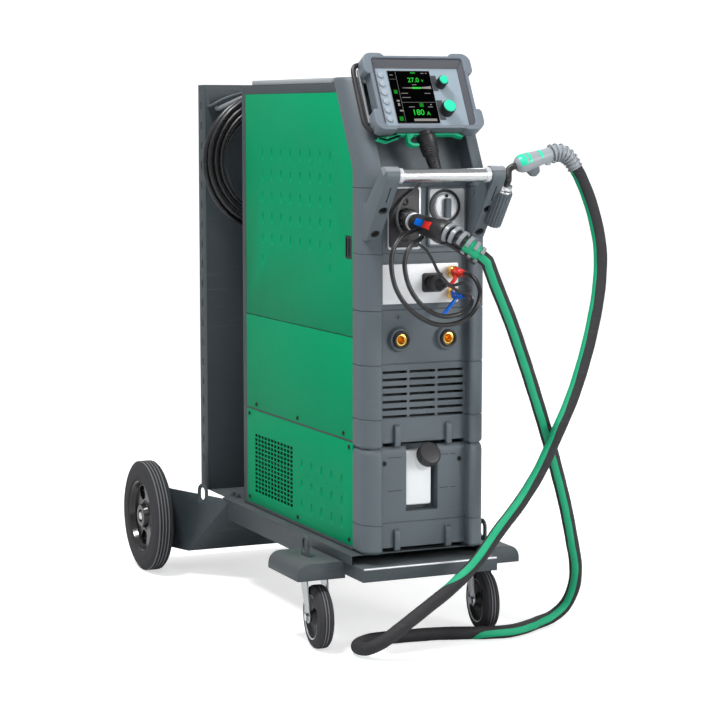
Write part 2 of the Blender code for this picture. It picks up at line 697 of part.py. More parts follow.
def front_lower():
    low = MAIN_BASE - FEET_DROP
    levels = [(low, 5 * MM), (low + 5 * MM, 0)]
    for z in (MAIN_BASE + 48 * MM, MAIN_BASE + 152 * MM, MAIN_BASE + 256 * MM):
        levels += seam(z)
    levels += [(FRONT_SEAM - 1 * MM, 0), (FRONT_SEAM - GAP / 2, 1 * MM)]
    front = stacked_front("front_lower", levels)
    slots = []
    spans = ((-VENT_HALF, -VENT_RIB_X - VENT_RIB_W / 2),
             (VENT_RIB_W / 2 - VENT_RIB_X, VENT_RIB_X - VENT_RIB_W / 2),
             (VENT_RIB_X + VENT_RIB_W / 2, VENT_HALF))
    for row in range(VENT_ROWS):
        z = VENT_LOW + row * VENT_PITCH
        for start, end in spans:
            slots.append(((start, CENTRE_SET - 5 * MM, z),
                          (end, CENTRE_SET + VENT_DEPTH, z + VENT_H)))
    cut(front, blocks(slots), "vents")
    foot_line(front, low)
    bumpers(front, low, low + 44 * MM)
    for word, side in (("plus", -1), ("minus", 1)):
        x = side * SOCKET_X
        collar_r = SOCKET_D / 2 + 5 * MM
        reach = 10 * MM
        collar = [(0, -2 * MM), (collar_r, -2 * MM), (collar_r - 1 * MM, reach), (0, reach)]
        fuse(front, turned(collar, 20, (x, CENTRE_SET, SOCKET_Z), (0, -1, 0)), f"collar_{word}")
        seat = [(0, -26 * MM), (SOCKET_D / 2 + GAP, -26 * MM), (SOCKET_D / 2 + GAP, 20 * MM), (0, 20 * MM)]
        cut(front, turned(seat, 20, (x, CENTRE_SET, SOCKET_Z), (0, -1, 0)), f"seat_{word}")
        weld_socket(word, x)


def weld_socket(word, x):
    """Insulated bayonet socket with a brass bore and its bottom."""
    outer, bore = SOCKET_D / 2, SOCKET_BORE / 2
    profile = [(0, -24 * MM), (outer, -24 * MM), (outer, SOCKET_REACH - 2 * MM),
               (outer - 2 * MM, SOCKET_REACH), (bore + 5 * MM, SOCKET_REACH),
               (bore, SOCKET_REACH - 3 * MM), (bore, -18 * MM), (0, -18 * MM)]
    piece(f"weld_socket_{word}", turned(profile, 20, (x, CENTRE_SET, SOCKET_Z), (0, -1, 0)), BLACK)


def front_upper():
    seam_z = FRONT_SEAM + GAP / 2
    levels = [(seam_z, 1 * MM), (FRONT_SEAM + 1 * MM, 0)] + seam(FRONT_SEAM + 125 * MM)
    levels += [(SLOPE_Z, 0), (MAIN_TOP - 6 * MM, 0), (MAIN_TOP - 1.5 * MM, 2 * MM), (MAIN_TOP, 6 * MM)]
    front = stacked_front("front_upper", levels)
    bay_high = MAIN_TOP - 12 * MM
    outline = [(-BAY_DEPTH, BAY_LOW), (BAY_DEPTH, BAY_LOW), (BAY_DEPTH, SLOPE_Z),
               (BAY_DEPTH + lean(bay_high), bay_high), (lean(bay_high) - BAY_DEPTH, bay_high)]
    cut(front, prism(outline, "X", -BAY_HALF, BAY_HALF), "bay")
    hole = [(0, -45 * MM), (19 * MM, -45 * MM), (19 * MM, 20 * MM), (0, 20 * MM)]
    cut(front, turned(hole, 16, (PLUG_X, CENTRE_SET, PLUG_Z), (0, -1, 0)), "connector_hole")
    fuse(front, block((10 * MM, CENTRE_SET - SWITCH_PLATE_T, 785 * MM),
                      (89 * MM, CENTRE_SET + 1 * MM, 896 * MM)), "switch_plate")


def main_switch():
    """Rotary main switch with a grip bar."""
    face = CENTRE_SET - SWITCH_PLATE_T - GAP
    radius = SWITCH_D / 2
    profile = [(0, 0), (radius, 0), (radius, 5 * MM), (radius - 3 * MM, 9 * MM), (0, 9 * MM)]
    centre = (SWITCH_X, face, SWITCH_Z)
    switch = piece("main_switch", turned(profile, 24, centre, (0, -1, 0)), GREY, at=centre)
    grip = 5 * MM
    fuse(switch, block((SWITCH_X - grip, face - SWITCH_T, SWITCH_Z - radius + 4 * MM),
                       (SWITCH_X + grip, face - 8 * MM, SWITCH_Z + radius - 4 * MM)), "grip")


def cooler_front():
    low, high = SADDLE_TOP + GAP, MAIN_BASE - FEET_DROP - GAP
    levels = [(low, 6 * MM), (low + 6 * MM, 0)] + seam(252 * MM)
    levels += [(high - 14 * MM, 0), (high - 6 * MM, 1.5 * MM), (high - 1.5 * MM, 4 * MM), (high, 6 * MM)]
    front = stacked_front("cooler_front", levels)
    cut(front, block((-WINDOW_HALF, -WINDOW_DEPTH, WINDOW_LOW),
                     (WINDOW_HALF, CENTRE_SET + WINDOW_DEPTH, high + FEET_DROP)), "window")
    foot_line(front, low)
    bumpers(front, low + 2 * MM, low + 45 * MM)


def coolant_tank():
    """Filler end of the tank with its sloping neck, seen through the window."""
    x = (-WINDOW_HALF + 0.5 * MM, WINDOW_HALF - 10 * MM)
    front = CENTRE_SET + 6 * MM
    back = CENTRE_SET + WINDOW_DEPTH - GAP
    tank = piece("coolant_tank", block((x[0], front, WINDOW_LOW + 10 * MM),
                                       (x[1], back, WINDOW_HIGH - 1 * MM)), WHITE)
    bevel = tank.modifiers.new("soft_edges", "BEVEL")
    bevel.width = 4 * MM
    bevel.segments = 2
    axis = Vector((0, -math.cos(CAP_TILT), math.sin(CAP_TILT)))
    middle = ((x[0] + x[1]) / 2 + 12 * MM, front, WINDOW_HIGH - 20 * MM)
    neck = [(0, -10 * MM), (20 * MM, -10 * MM), (17 * MM, 12 * MM), (0, 12 * MM)]
    fuse(tank, turned(neck, 20, middle, axis), "neck")
    start = Vector(middle) + axis * (12 * MM + GAP)
    radius = CAP_D / 2
    profile = [(0, 0)]
    profile += [(radius - 1 * MM, 0), (radius, 2 * MM), (radius, CAP_T - 3 * MM),
                (radius - 2 * MM, CAP_T), (0, CAP_T)]
    piece("coolant_cap", turned(profile, 24, start, axis), BLACK, at=start)


def side_outline(low, high, front, rear):
    """Side view of the housing with its sloping front edge."""
    points = [(front, low), (rear, low), (rear, high)]
    if high > SLOPE_Z:
        points += [(front + lean(high), high), (front, SLOPE_Z)]
    else:
        points += [(front, high)]
    return points


def cooler_body():
    low, high = SADDLE_TOP + GAP, MAIN_BASE - GAP
    half = BODY_W / 2
    front = FRONT_DEPTH + GAP
    rear = BODY_REAR - REAR_STRIP
    case = piece("cooler_case", block((-half, front, low), (half, BODY_REAR, high)), DARK)
    recess, beyond = PANEL_T + GAP, 10 * MM
    panel_low, panel_high = low + 8 * MM, high - 1 * MM
    for word, x in (("left", -half), ("right", half)):
        inner = x - math.copysign(recess, x)
        outer = x + math.copysign(beyond, x)
        cut(case, block((min(inner, outer), front - beyond, panel_low),
                        (max(inner, outer), rear, panel_high)), f"{word}_recess")
    air_rear = GRILLE_FRONT + GRILLE_COLUMNS * GRILLE_PITCH_Y
    air_high = GRILLE_LOW + GRILLE_ROWS * GRILLE_PITCH_Z
    cut(case, block((-half - beyond, GRILLE_FRONT - 6 * MM, GRILLE_LOW - 6 * MM),
                    (-half + 22 * MM, air_rear + 4 * MM, air_high + 4 * MM)), "radiator_room")
    panel_front, panel_rear = front + GAP, rear - GAP
    right = side_outline(panel_low + GAP, panel_high - GAP, panel_front, panel_rear)
    piece("cooler_side_right", prism(right, "X", half - PANEL_T, half), GREEN)
    piece("cooler_side_left", grille_panel(panel_low + GAP, panel_high - GAP, panel_front, panel_rear),
          GREEN)


def grille_panel(low, high, front, rear):
    """Side sheet with a grid of air holes: the sheet's cells but for the holes, made thick."""
    bm = bmesh.new()
    ys, zs = [front], [low]
    for k in range(GRILLE_COLUMNS):
        start = GRILLE_FRONT + k * GRILLE_PITCH_Y
        ys += [start, start + GRILLE_HOLE_Y]
    for k in range(GRILLE_ROWS):
        start = GRILLE_LOW + k * GRILLE_PITCH_Z
        zs += [start, start + GRILLE_HOLE_Z]
    ys.append(rear)
    zs.append(high)
    outer = -BODY_W / 2
    grid = [[bm.verts.new((outer, y, z)) for z in zs] for y in ys]
    for i in range(len(ys) - 1):
        for j in range(len(zs) - 1):
            if i % 2 == 1 and j % 2 == 1:
                continue
            bm.faces.new((grid[i][j], grid[i][j + 1], grid[i + 1][j + 1], grid[i + 1][j]))
    grown = bmesh.ops.extrude_face_region(bm, geom=list(bm.faces))
    verts = [g for g in grown["geom"] if isinstance(g, bmesh.types.BMVert)]
    bmesh.ops.translate(bm, verts=verts, vec=(PANEL_T, 0, 0))
    return bm


def main_case():
    half = BODY_W / 2
    front = FRONT_DEPTH + GAP
    case = piece("main_case", prism(side_outline(MAIN_BASE, FRAME_TOP, front, BODY_REAR), "X",
                                    -half, half), DARK)
    recess, beyond = PANEL_T + GAP, 10 * MM
    panel_low = MAIN_BASE + 2 * MM
    panel_rear = BODY_REAR - REAR_STRIP
    outline = side_outline(panel_low, GREEN_TOP + GAP, front - beyond, panel_rear)
    cut(case, prism(outline, "X", -half - beyond, -half + recess), "left_recess")
    cut(case, prism(outline, "X", half - recess, half + beyond), "right_recess")
    bay = side_outline(DOOR_SPLIT + 14 * MM, GREEN_TOP - 12 * MM, front + 16 * MM, panel_rear - 14 * MM)
    cut(case, prism(bay, "X", -half - beyond, BAY_WALL_X), "wire_bay")
    hub_r, hub_end = SPOOL_BORE / 2 - 0.5 * MM, SPOOL_W + 10 * MM
    hub = [(0, 0), (hub_r, 0), (hub_r, hub_end - 4 * MM), (hub_r - 4 * MM, hub_end), (0, hub_end)]
    fuse(case, turned(hub, 20, (BAY_WALL_X + 2 * MM, SPOOL_Y, SPOOL_Z), (-1, 0, 0)), "spool_hub")
    lead_r = MAINS_D / 2
    gland = [(0, -2 * MM), (15 * MM, -2 * MM), (15 * MM, 8 * MM), (lead_r + 5 * MM, 10 * MM),
             (lead_r + 1.5 * MM, GLAND_REACH), (0, GLAND_REACH)]
    fuse(case, turned(gland, 16, (GLAND_X, BODY_REAR, GLAND_Z), (0, 1, 0)), "mains_gland")
    guard = [(58 * MM, -2 * MM), (66 * MM, -2 * MM), (64 * MM, 5 * MM), (60 * MM, 5 * MM)]
    fuse(case, turned(guard, 24, (0, BODY_REAR, 500 * MM), (0, 1, 0), closed=True), "fan_rim")

    panels = (("side_panel_left", panel_low + GAP, DOOR_SPLIT - 1 * MM, -half),
              ("side_panel_right", panel_low + GAP, GREEN_TOP, half - PANEL_T))
    for name, low, high, x in panels:
        outline = side_outline(low, high, front + GAP, panel_rear - GAP)
        piece(name, prism(outline, "X", x, x + PANEL_T), GREEN)
    top = piece("top_cover", block((12 * MM - half, TRAY_FRONT, FRAME_TOP + GAP),
                                   (half - 12 * MM, BODY_REAR - 28 * MM, MAIN_TOP)), GREY)
    bevel = top.modifiers.new("edge", "BEVEL")
    bevel.width = 2.5 * MM
    bevel.segments = 2
    cut(top, block((20 * MM - half, TRAY_FRONT + 8 * MM, MAIN_TOP - 4 * MM),
                   (half - 20 * MM, BODY_REAR - 36 * MM, MAIN_TOP + 5 * MM)), "tray")


def wire_door():
    """Door of the wire bay, hung on concealed hinges just outside its rear edge."""
    half = BODY_W / 2
    front = FRONT_DEPTH + 2 * GAP
    strip = BODY_REAR - REAR_STRIP
    hinge = (-half - 1.5 * MM, strip + 1 * MM, DOOR_SPLIT)
    outline = side_outline(DOOR_SPLIT + 1 * MM, GREEN_TOP, front, strip - 1.2 * MM)
    door = piece("wire_door", prism(outline, "X", -half, -half + PANEL_T), GREEN, at=hinge)
    latch_y, latch_z = front + 20 * MM, 782 * MM
    cut(door, block((-half - 5 * MM, latch_y - 15 * MM, latch_z - 22 * MM),
                    (-half + 5 * MM, latch_y + 15 * MM, latch_z + 22 * MM)), "latch_hole")
    latch = piece("door_latch", block((-half + 0.4 * MM, latch_y - 14.5 * MM, latch_z - 21 * MM),
                                      (-half + 2.4 * MM, latch_y + 6 * MM, latch_z + 21 * MM)),
                  BLACK, at=(-half + 1 * MM, latch_y, latch_z))
    fuse(latch, block((-half - 2.5 * MM, latch_y - 4 * MM, latch_z - 17 * MM),
                      (-half + 1 * MM, latch_y, latch_z + 17 * MM)), "thumb_rib")


# ---------------------------------------------------------------- handle, torch and holder
def handle():
    """Two cast arms on the columns and the tube between them."""
    foot_high = ARM_FOOT_LOW + 72 * MM
    seat_deep = 12 * MM
    for word, side in (("left", -1), ("right", 1)):
        outline = [(CENTRE_SET, ARM_FOOT_LOW), (CENTRE_SET, foot_high), (-2 * MM, foot_high)]
        outline += arc((TUBE_Y, TUBE_Z), ARM_END_R, 60, 180, 8)
        outline += arc((TUBE_Y, TUBE_Z), ARM_END_R, 180, 215, 3)[1:]
        outline += [(-18 * MM, ARM_FOOT_LOW + 3 * MM), (-14 * MM, ARM_FOOT_LOW)]
        low, high = sorted((side * TUBE_HALF, side * (TUBE_HALF + ARM_T)))
        arm = piece(f"handle_arm_{word}", prism(outline, "X", low, high), GREY)
        column = [(x, y) for x, y, _ in front_ring(ARM_FOOT_LOW, -GAP, FRONT_DEPTH)]
        cut(arm, prism(column, "Z", ARM_FOOT_LOW - 5 * MM, foot_high + 5 * MM), "column_seat")
        start = side * (TUBE_HALF - 5 * MM)
        end = side * (TUBE_HALF + seat_deep)
        seat_r = TUBE_D / 2 + GAP
        cut(arm, rod(seat_r, (start, TUBE_Y, TUBE_Z), (end, TUBE_Y, TUBE_Z), 20), "tube_seat")
        if side > 0:
            torch_holder(arm)
    reach = TUBE_HALF + seat_deep - GAP
    piece("handle_tube", rod(TUBE_D / 2, (-reach, TUBE_Y, TUBE_Z), (reach, TUBE_Y, TUBE_Z), 20), ALLOY)


HOLDER_AXIS = Vector((0, -0.555, 0.832))
HOLDER_FOOT = Vector((TUBE_HALF + ARM_T + HOLDER_D / 2 - 3 * MM, -8 * MM, 826 * MM))


def torch_holder(arm):
    """Cup for the torch's nozzle, cast on the outer side of the right arm."""
    cup = [(0, 0), (HOLDER_D / 2, 0), (HOLDER_D / 2, HOLDER_LEN), (0, HOLDER_LEN)]
    fuse(arm, turned(cup, 20, HOLDER_FOOT, HOLDER_AXIS), "cup")
    bore = [(0, 6 * MM), (HOLDER_BORE / 2, 6 * MM), (HOLDER_BORE / 2, HOLDER_LEN + 5 * MM),
            (0, HOLDER_LEN + 5 * MM)]
    cut(arm, turned(bore, 20, HOLDER_FOOT, HOLDER_AXIS), "cup_bore")


TORCH_HAND = Vector((152 * MM, -66 * MM, 938 * MM))     # where the grip starts
TORCH_TAIL = Vector((229 * MM, -68 * MM, 960 * MM))
TORCH_BOOT = [(236, -68.2, 962), (248, -68.6, 962), (260, -69, 957), (271, -70, 947), (279, -71, 934)]
TORCH_GRIP = ((0, 9), (5, 14), (18, 18), (34, 17), (50, 15), (70, 14), (79, 14.5))


def torch():
    """Nozzle in the cup, swan neck, hand grip with its trigger, and the bend protection."""
    nozzle_r = HOLDER_BORE / 2 - 0.4 * MM

    def cup(d):
        return HOLDER_FOOT + HOLDER_AXIS * d

    run = (TORCH_TAIL - TORCH_HAND).normalized()
    rim = HOLDER_LEN
    bend, _ = smooth_route([cup(rim + 15 * MM), cup(rim + 22 * MM), TORCH_HAND - Vector((13, -2, 8)) * MM,
                            TORCH_HAND - run * 5 * MM, TORCH_HAND - run * 0.4 * MM], 6 * MM)
    points = [cup(8 * MM), cup(9 * MM), cup(rim + 1 * MM), cup(rim + 1.5 * MM), cup(rim + 11 * MM),
              cup(rim + 11.5 * MM)] + bend
    radii = [nozzle_r - 1 * MM, nozzle_r, nozzle_r, 12.5 * MM, 12.5 * MM, 8 * MM] + [6.5 * MM] * len(bend)
    piece("torch_neck", swept(points, radii, 10), BLACK)

    grip = piece("torch_handle", swept([TORCH_HAND + run * d * MM for d, _ in TORCH_GRIP],
                                       [r * MM for _, r in TORCH_GRIP], 14), GREY)
    down = Vector((run.z, 0, -run.x)).normalized()

    def beside(pairs):
        """Points given along the grip and below its axis, as (X, Z)."""
        spots = [TORCH_HAND + run * d * MM + down * h * MM for d, h in pairs]
        return [(p.x, p.z) for p in spots]

    middle = TORCH_HAND.y + run.y * 33 * MM
    cut(grip, prism(beside([(17, 10), (49, 10), (49, 40), (17, 40)]), "Y",
                    middle - 6 * MM, middle + 6 * MM), "trigger_slot")
    pivot = TORCH_HAND + run * 20 * MM + down * 15 * MM
    outline = beside([(18, 13.5), (47, 13.5), (45, 25), (35, 31), (27, 28), (21, 19)])
    piece("torch_trigger", prism(outline, "Y", middle - 5.4 * MM, middle + 5.4 * MM), BLACK, at=pivot)

    start = TORCH_TAIL + run * 0.4 * MM
    boot, _ = smooth_route([start, start + run * 3 * MM] + [Vector(p) * MM for p in TORCH_BOOT], 4.6 * MM)
    last = len(boot) - 1
    radii = [(18.5 - 4 * k / last) * MM - (2 * MM if k % 2 else 0) for k in range(last + 1)]
    radii[0] = radii[1] = 14 * MM
    piece("torch_boot", swept(boot, radii, 12), BLACK)


# ---------------------------------------------------------------- connectors on the front
PLUG_ROOT = Vector((PLUG_X, CENTRE_SET - 2 * MM, PLUG_Z))
PLUG_END = Vector((-15 * MM, -122 * MM, 815 * MM))
PLUG_BOOT = [(-15, -122, 815), (-9, -135, 810), (2, -148, 800), (16, -157, 788), (27, -161, 778)]


def torch_plug():
    """Torch connector: union ring, tapered grip and a ribbed boot bending down."""
    run = (PLUG_END - PLUG_ROOT).normalized()
    length = (PLUG_END - PLUG_ROOT).length
    points = [PLUG_ROOT - run * 22 * MM, PLUG_ROOT + run * 1 * MM]
    radii = [13 * MM, 13 * MM]
    for share, radius in ((0.03, 20), (0.16, 20), (0.18, 15), (0.26, 15), (0.29, 17.5), (0.45, 18.5),
                          (0.62, 21), (0.80, 23.5), (0.97, 23), (0.99, 21)):
        points.append(PLUG_ROOT + run * length * share)
        radii.append(radius * MM)
    boot, _ = smooth_route([Vector(p) * MM for p in PLUG_BOOT], 5.2 * MM)
    count = len(boot)
    for k, point in enumerate(boot[1:], 1):
        points.append(point)
        radii.append((21 - 4.5 * k / (count - 1)) * MM - (2 * MM if k % 2 else 0))
    piece("torch_plug", swept(points, radii, 14), BLACK)


def multi_pin_plug():
    face = CENTRE_SET - GAP
    profile = [(0, 0), (15 * MM, 0), (15 * MM, 12 * MM), (12.5 * MM, 14 * MM), (12.5 * MM, 40 * MM),
               (10 * MM, 44 * MM), (6 * MM, 60 * MM), (0, 60 * MM)]
    piece("multi_pin_plug", turned(profile, 16, (MULTI_X, face, MULTI_Z), (0, -1, 0)), BLACK)


def coupling(word, z, mat, lever):
    """Quick coupling for the coolant: ribbed socket, collar and a slanting release lever."""
    face = CENTRE_SET - GAP
    profile = [(0, 0), (10 * MM, 0), (10 * MM, 20 * MM), (8 * MM, 22 * MM), (8 * MM, 42 * MM),
               (5.5 * MM, 46 * MM), (5.5 * MM, 58 * MM), (0, 58 * MM)]
    part = piece(f"coupling_{word}", turned(profile, 14, (COUPLING_X, face, z), (0, -1, 0)), mat)
    across, down = lever
    half = 4.5 * MM
    outline = [(COUPLING_X - half, z), (COUPLING_X + half, z),
               (COUPLING_X + half - across, z - down), (COUPLING_X - half - across, z - down)]
    fuse(part, prism(outline, "Y", face - 36 * MM, face - 31 * MM), "lever")


# ---------------------------------------------------------------- control box
def control_box():
    half_w, half_h = BOX_W / 2, BOX_H / 2

    def outline(inset, guard):
        """Face outline, anticlockwise; the rounded corners stand out by `guard`."""
        points = []
        spread = 14 * MM
        for x, z, start in ((1, -1, 270), (1, 1, 0), (-1, 1, 90), (-1, -1, 180)):
            centre = (x * (half_w - spread), z * (half_h - spread))
            corner = arc(centre, spread - inset + guard, start, start + 90, 3)
            edge_z = (centre[0] + x * (spread - inset), centre[1] - z * 18 * MM)
            edge_x = (centre[0] - x * 18 * MM, centre[1] + z * (spread - inset))
            points += [edge_x] + corner + [edge_z] if x * z < 0 else [edge_z] + corner + [edge_x]
        return points

    def ring(inset, guard, y):
        return [(x, y, z) for x, z in outline(inset, guard)]

    case = piece("panel_case", lofted([
        ring(4 * MM, BOX_GUARD, 0), ring(0, BOX_GUARD, 4 * MM), ring(0, BOX_GUARD, 22 * MM),
        ring(3 * MM, 0, 24 * MM), ring(12 * MM, 0, BOX_D)]), GREY, BOX_POINT)
    face_x, face_z = half_w - BOX_RIM, half_h - BOX_RIM
    cut(case, block((-face_x, -10 * MM, -face_z), (face_x, BOX_RECESS, face_z)), "face_recess")
    for word, side in (("left", -1), ("right", 1)):
        root = side * (half_w - 6 * MM)
        out = side * (half_w + BAR_OUT)
        reach = half_h - 22 * MM
        y = 24 * MM
        bar_points = [(root, y, reach), (side * (half_w + 6 * MM), y, reach), (out, y, reach - 10 * MM),
                      (out, y, 10 * MM - reach), (side * (half_w + 6 * MM), y, -reach), (root, y, -reach)]
        fuse(case, swept(bar_points, [BAR_D / 2] * 6, 6), f"bar_{word}")
    bay_back = (BAY_DEPTH - BOX_Y) * math.cos(BOX_LEAN) - (SLOPE_Z - BOX_Z) * math.sin(BOX_LEAN)
    fuse(case, block((-45 * MM, BOX_D - 4 * MM, -24 * MM), (45 * MM, bay_back - GAP, 30 * MM)), "mount")
    gland = [(0, -4 * MM), (15 * MM, -4 * MM), (15 * MM, 16 * MM), (12.5 * MM, 20 * MM),
             (12.5 * MM, 34 * MM), (6 * MM, BOX_GLAND), (0, BOX_GLAND)]
    fuse(case, turned(gland, 12, BOX_GLAND_ROOT, BOX_GLAND_AIM), "gland")
    hanger = [(-26 * MM, 0), (-14 * MM, 0), (-14 * MM, -10 * MM), (-8 * MM, -16 * MM), (-14 * MM, -22 * MM),
              (-26 * MM, -14 * MM)]
    hanger = [(x, z - half_h + 1 * MM) for x, z in hanger]
    fuse(case, prism(hanger, "Y", 10 * MM, 26 * MM), "hanger")

    top = BUTTON_MIDDLE + (BUTTON_COUNT - 1) / 2 * BUTTON_PITCH
    wells = bmesh.new()
    for k in range(BUTTON_COUNT):
        up = top - k * BUTTON_PITCH
        well_r = BUTTON_D / 2 + 0.4 * MM
        well = [(0, -BUTTON_WELL), (well_r, -BUTTON_WELL), (well_r, 2 * MM), (0, 2 * MM)]
        add_turned(wells, well, 12, (BUTTON_X, BOX_RECESS, up), (0, -1, 0))
        at = (BUTTON_X, BOX_RECESS + BUTTON_SUNK, up)
        radius, reach = BUTTON_D / 2, BUTTON_SUNK + 4 * MM
        profile = [(0, 0), (radius, 0), (radius, reach - 1.5 * MM), (radius - 1.5 * MM, reach), (0, reach)]
        piece(f"panel_button_{k + 1}", turned(profile, 12, at, (0, -1, 0)), WHITE, BOX_POINT, at)
    cut(case, wells, "button_wells")
    for word, diameter, up in (("small", KNOB_SMALL_D, KNOB_SMALL_UP), ("large", KNOB_LARGE_D, KNOB_LARGE_UP)):
        at = (KNOB_X, BOX_RECESS - GAP, up)
        radius = diameter / 2
        profile = [(0, 0), (radius + 1 * MM, 0), (radius + 1 * MM, 3 * MM), (radius, 4 * MM),
                   (radius - 0.8 * MM, KNOB_REACH - 2 * MM), (radius - 2 * MM, KNOB_REACH), (0, KNOB_REACH)]
        piece(f"panel_knob_{word}", turned(profile, 16, at, (0, -1, 0)), BLACK, BOX_POINT, at)


# ---------------------------------------------------------------- wire feeder and spool
def gear_outline(centre, teeth, pitch_r, phase):
    """Straight-flanked teeth with backlash, as (Y, Z) points."""
    module = 2 * pitch_r / teeth
    tip, root = pitch_r + 0.75 * module, pitch_r - 1.0 * module
    pitch = 2 * math.pi / teeth
    points = []
    for k in range(teeth):
        middle = phase + k * pitch
        for offset, radius in ((-0.30, root), (-0.11, tip), (0.11, tip), (0.30, root)):
            a = middle + offset * pitch
            points.append((centre[0] + radius * math.cos(a), centre[1] + radius * math.sin(a)))
    return points


def feed_roll(name, y, z, phase):
    """Grooved roll with its driving gear on the inner side."""
    bore = ROLL_BORE / 2
    r = ROLL_PITCH_R - 0.3 * MM
    at = (WIRE_X, y, z)
    start = WIRE_X - 7 * MM
    gear = prism(gear_outline((y, z), ROLL_TEETH, ROLL_PITCH_R, phase), "X",
                 WIRE_X + 6 * MM, WIRE_X + 13 * MM)
    part = piece(name, gear, ZINC, at=at)
    body = [(0, 0), (r, 0), (r, 5.5 * MM), (r - 1.2 * MM, 7 * MM), (r, 8.5 * MM), (r, 12.5 * MM),
            (bore + 5 * MM, 12.5 * MM), (bore + 5 * MM, 14 * MM), (0, 14 * MM)]
    fuse(part, turned(body, 16, (start, y, z), (1, 0, 0)), "roll")
    cut(part, rod(bore, (start - 5 * MM, y, z), (WIRE_X + 20 * MM, y, z), 12), "bore")


def wire_feeder():
    """Four geared rolls: two driven ones on the plate and two pressed down by the arm."""
    wire_z = PLUG_Z
    plate_x = (BAY_WALL_X - 10 * MM, BAY_WALL_X - GAP)
    plate = piece("feed_plate", block((plate_x[0], 88 * MM, wire_z - 44 * MM),
                                      (plate_x[1], 212 * MM, wire_z + 44 * MM)), ALLOY)
    low_z, high_z = wire_z - ROLL_PITCH_R, wire_z + ROLL_PITCH_R
    half_pitch = math.pi / ROLL_TEETH
    for word, y in zip(("front", "rear"), ROLL_YS):
        tip = WIRE_X - 10 * MM
        fuse(plate, rod(ROLL_SHAFT / 2, (plate_x[0] + 3 * MM, y, low_z), (tip, y, low_z), 12), f"shaft_{word}")
        feed_roll(f"drive_roll_{word}", y, low_z, math.pi / 2)
        feed_roll(f"pressure_roll_{word}", y, high_z, -math.pi / 2 + half_pitch)
    for word, start, end in (("outlet", 77 * MM, 90 * MM), ("middle", 133 * MM, 144 * MM),
                             ("inlet", 190 * MM, 208 * MM)):
        fuse(plate, block((WIRE_X - 5 * MM, start, wire_z - 4 * MM),
                          (plate_x[0] + 2 * MM, end, wire_z + 4 * MM)), f"guide_{word}")
    pin_tip = WIRE_X - 22 * MM
    fuse(plate, rod(5 * MM, (plate_x[0] + 3 * MM, ARM_PIVOT_Y, ARM_PIVOT_Z), (pin_tip, ARM_PIVOT_Y, ARM_PIVOT_Z), 14),
         "arm_pin")

    bar = (WIRE_X - 20 * MM, WIRE_X - 10 * MM)
    at = ((bar[0] + bar[1]) / 2, ARM_PIVOT_Y, ARM_PIVOT_Z)
    outline = [(ROLL_YS[0] - 14 * MM, high_z - 8 * MM), (ARM_PIVOT_Y - 8 * MM, high_z - 8 * MM)]
    outline += arc((ARM_PIVOT_Y, ARM_PIVOT_Z), 12 * MM, -60, 100, 8)
    outline += [(ROLL_YS[0] - 14 * MM, high_z + 12 * MM)]
    arm = piece("pressure_arm", prism(outline, "X", *bar), ZINC, at=at)
    cut(arm, rod(5.4 * MM, (bar[0] - 5 * MM, ARM_PIVOT_Y, ARM_PIVOT_Z), (bar[1] + 5 * MM, ARM_PIVOT_Y, ARM_PIVOT_Z), 14),
        "pivot_bore")
    for word, y in zip(("front", "rear"), ROLL_YS):
        fuse(arm, rod(ROLL_SHAFT / 2, (bar[1] - 4 * MM, y, high_z), (WIRE_X + 13 * MM, y, high_z), 12), f"shaft_{word}")
    knob = [(0, 0), (7 * MM, 0), (8 * MM, 4 * MM), (8 * MM, 26 * MM), (6 * MM, 30 * MM), (0, 30 * MM)]
    fuse(arm, turned(knob, 12, (at[0] - 2 * MM, ROLL_YS[0] - 4 * MM, high_z + 11 * MM)), "tension_knob")


def wire_spool():
    bore, radius, flange = SPOOL_BORE / 2, SPOOL_D / 2, 5 * MM
    start = BAY_WALL_X - 6 * MM
    profile = [(bore, 0), (radius, 0), (radius, flange), (radius - 22 * MM, flange + 1 * MM),
               (radius - 22 * MM, SPOOL_W - flange - 1 * MM), (radius, SPOOL_W - flange),
               (radius, SPOOL_W), (60 * MM, SPOOL_W), (56 * MM, SPOOL_W - 18 * MM), (bore, SPOOL_W - 18 * MM)]
    centre = (start, SPOOL_Y, SPOOL_Z)
    piece("wire_spool", turned(profile, 24, centre, (-1, 0, 0), closed=True), COPPER, at=centre)


# ---------------------------------------------------------------- hoses and leads
TORCH_HOSE_ROUTE = [
    (62, -164, 718), (97, -155, 650), (139, -132, 571), (182, -105, 489),
    (226, -74, 405), (259, -48, 341), (296, -18, 265), (329, 12, 188), (352, 36, 132), (362, 58, 84),
    (352, 74, 42), (322, 76, 19), (280, 62, 13.4), (238, 37, 13.4), (195, 22, 13.4), (150, 28, 13.4),
    (100, 46, 13.4), (50, 62, 13.4), (0, 68, 13.4), (-45, 72, 13.4), (-85, 70, 13.4), (-120, 50, 13.4),
    (-138, 16, 15), (-134, -20, 21), (-112, -44, 38), (-76, -55, 66), (-26, -66, 104), (19, -77, 140),
    (66, -88, 189), (106, -98, 245), (145, -106, 295), (185, -112, 356), (220, -115, 427), (254, -114, 496),
    (283, -110, 571), (304, -104, 637), (320, -97, 704), (326, -90, 772), (318, -84, 830), (304, -78, 880)]
WATER_RED_ROUTE = [
    (-47.5, -48, 820), (-58, -52, 817), (-83, -60, 809), (-103, -66, 786), (-109, -69, 756),
    (-101, -74, 712), (-76, -84, 673), (-34, -94, 647), (10, -98, 646), (46, -98, 664), (66, -90, 698),
    (66, -72, 724), (62, -54, 733), (61, -37, 734)]
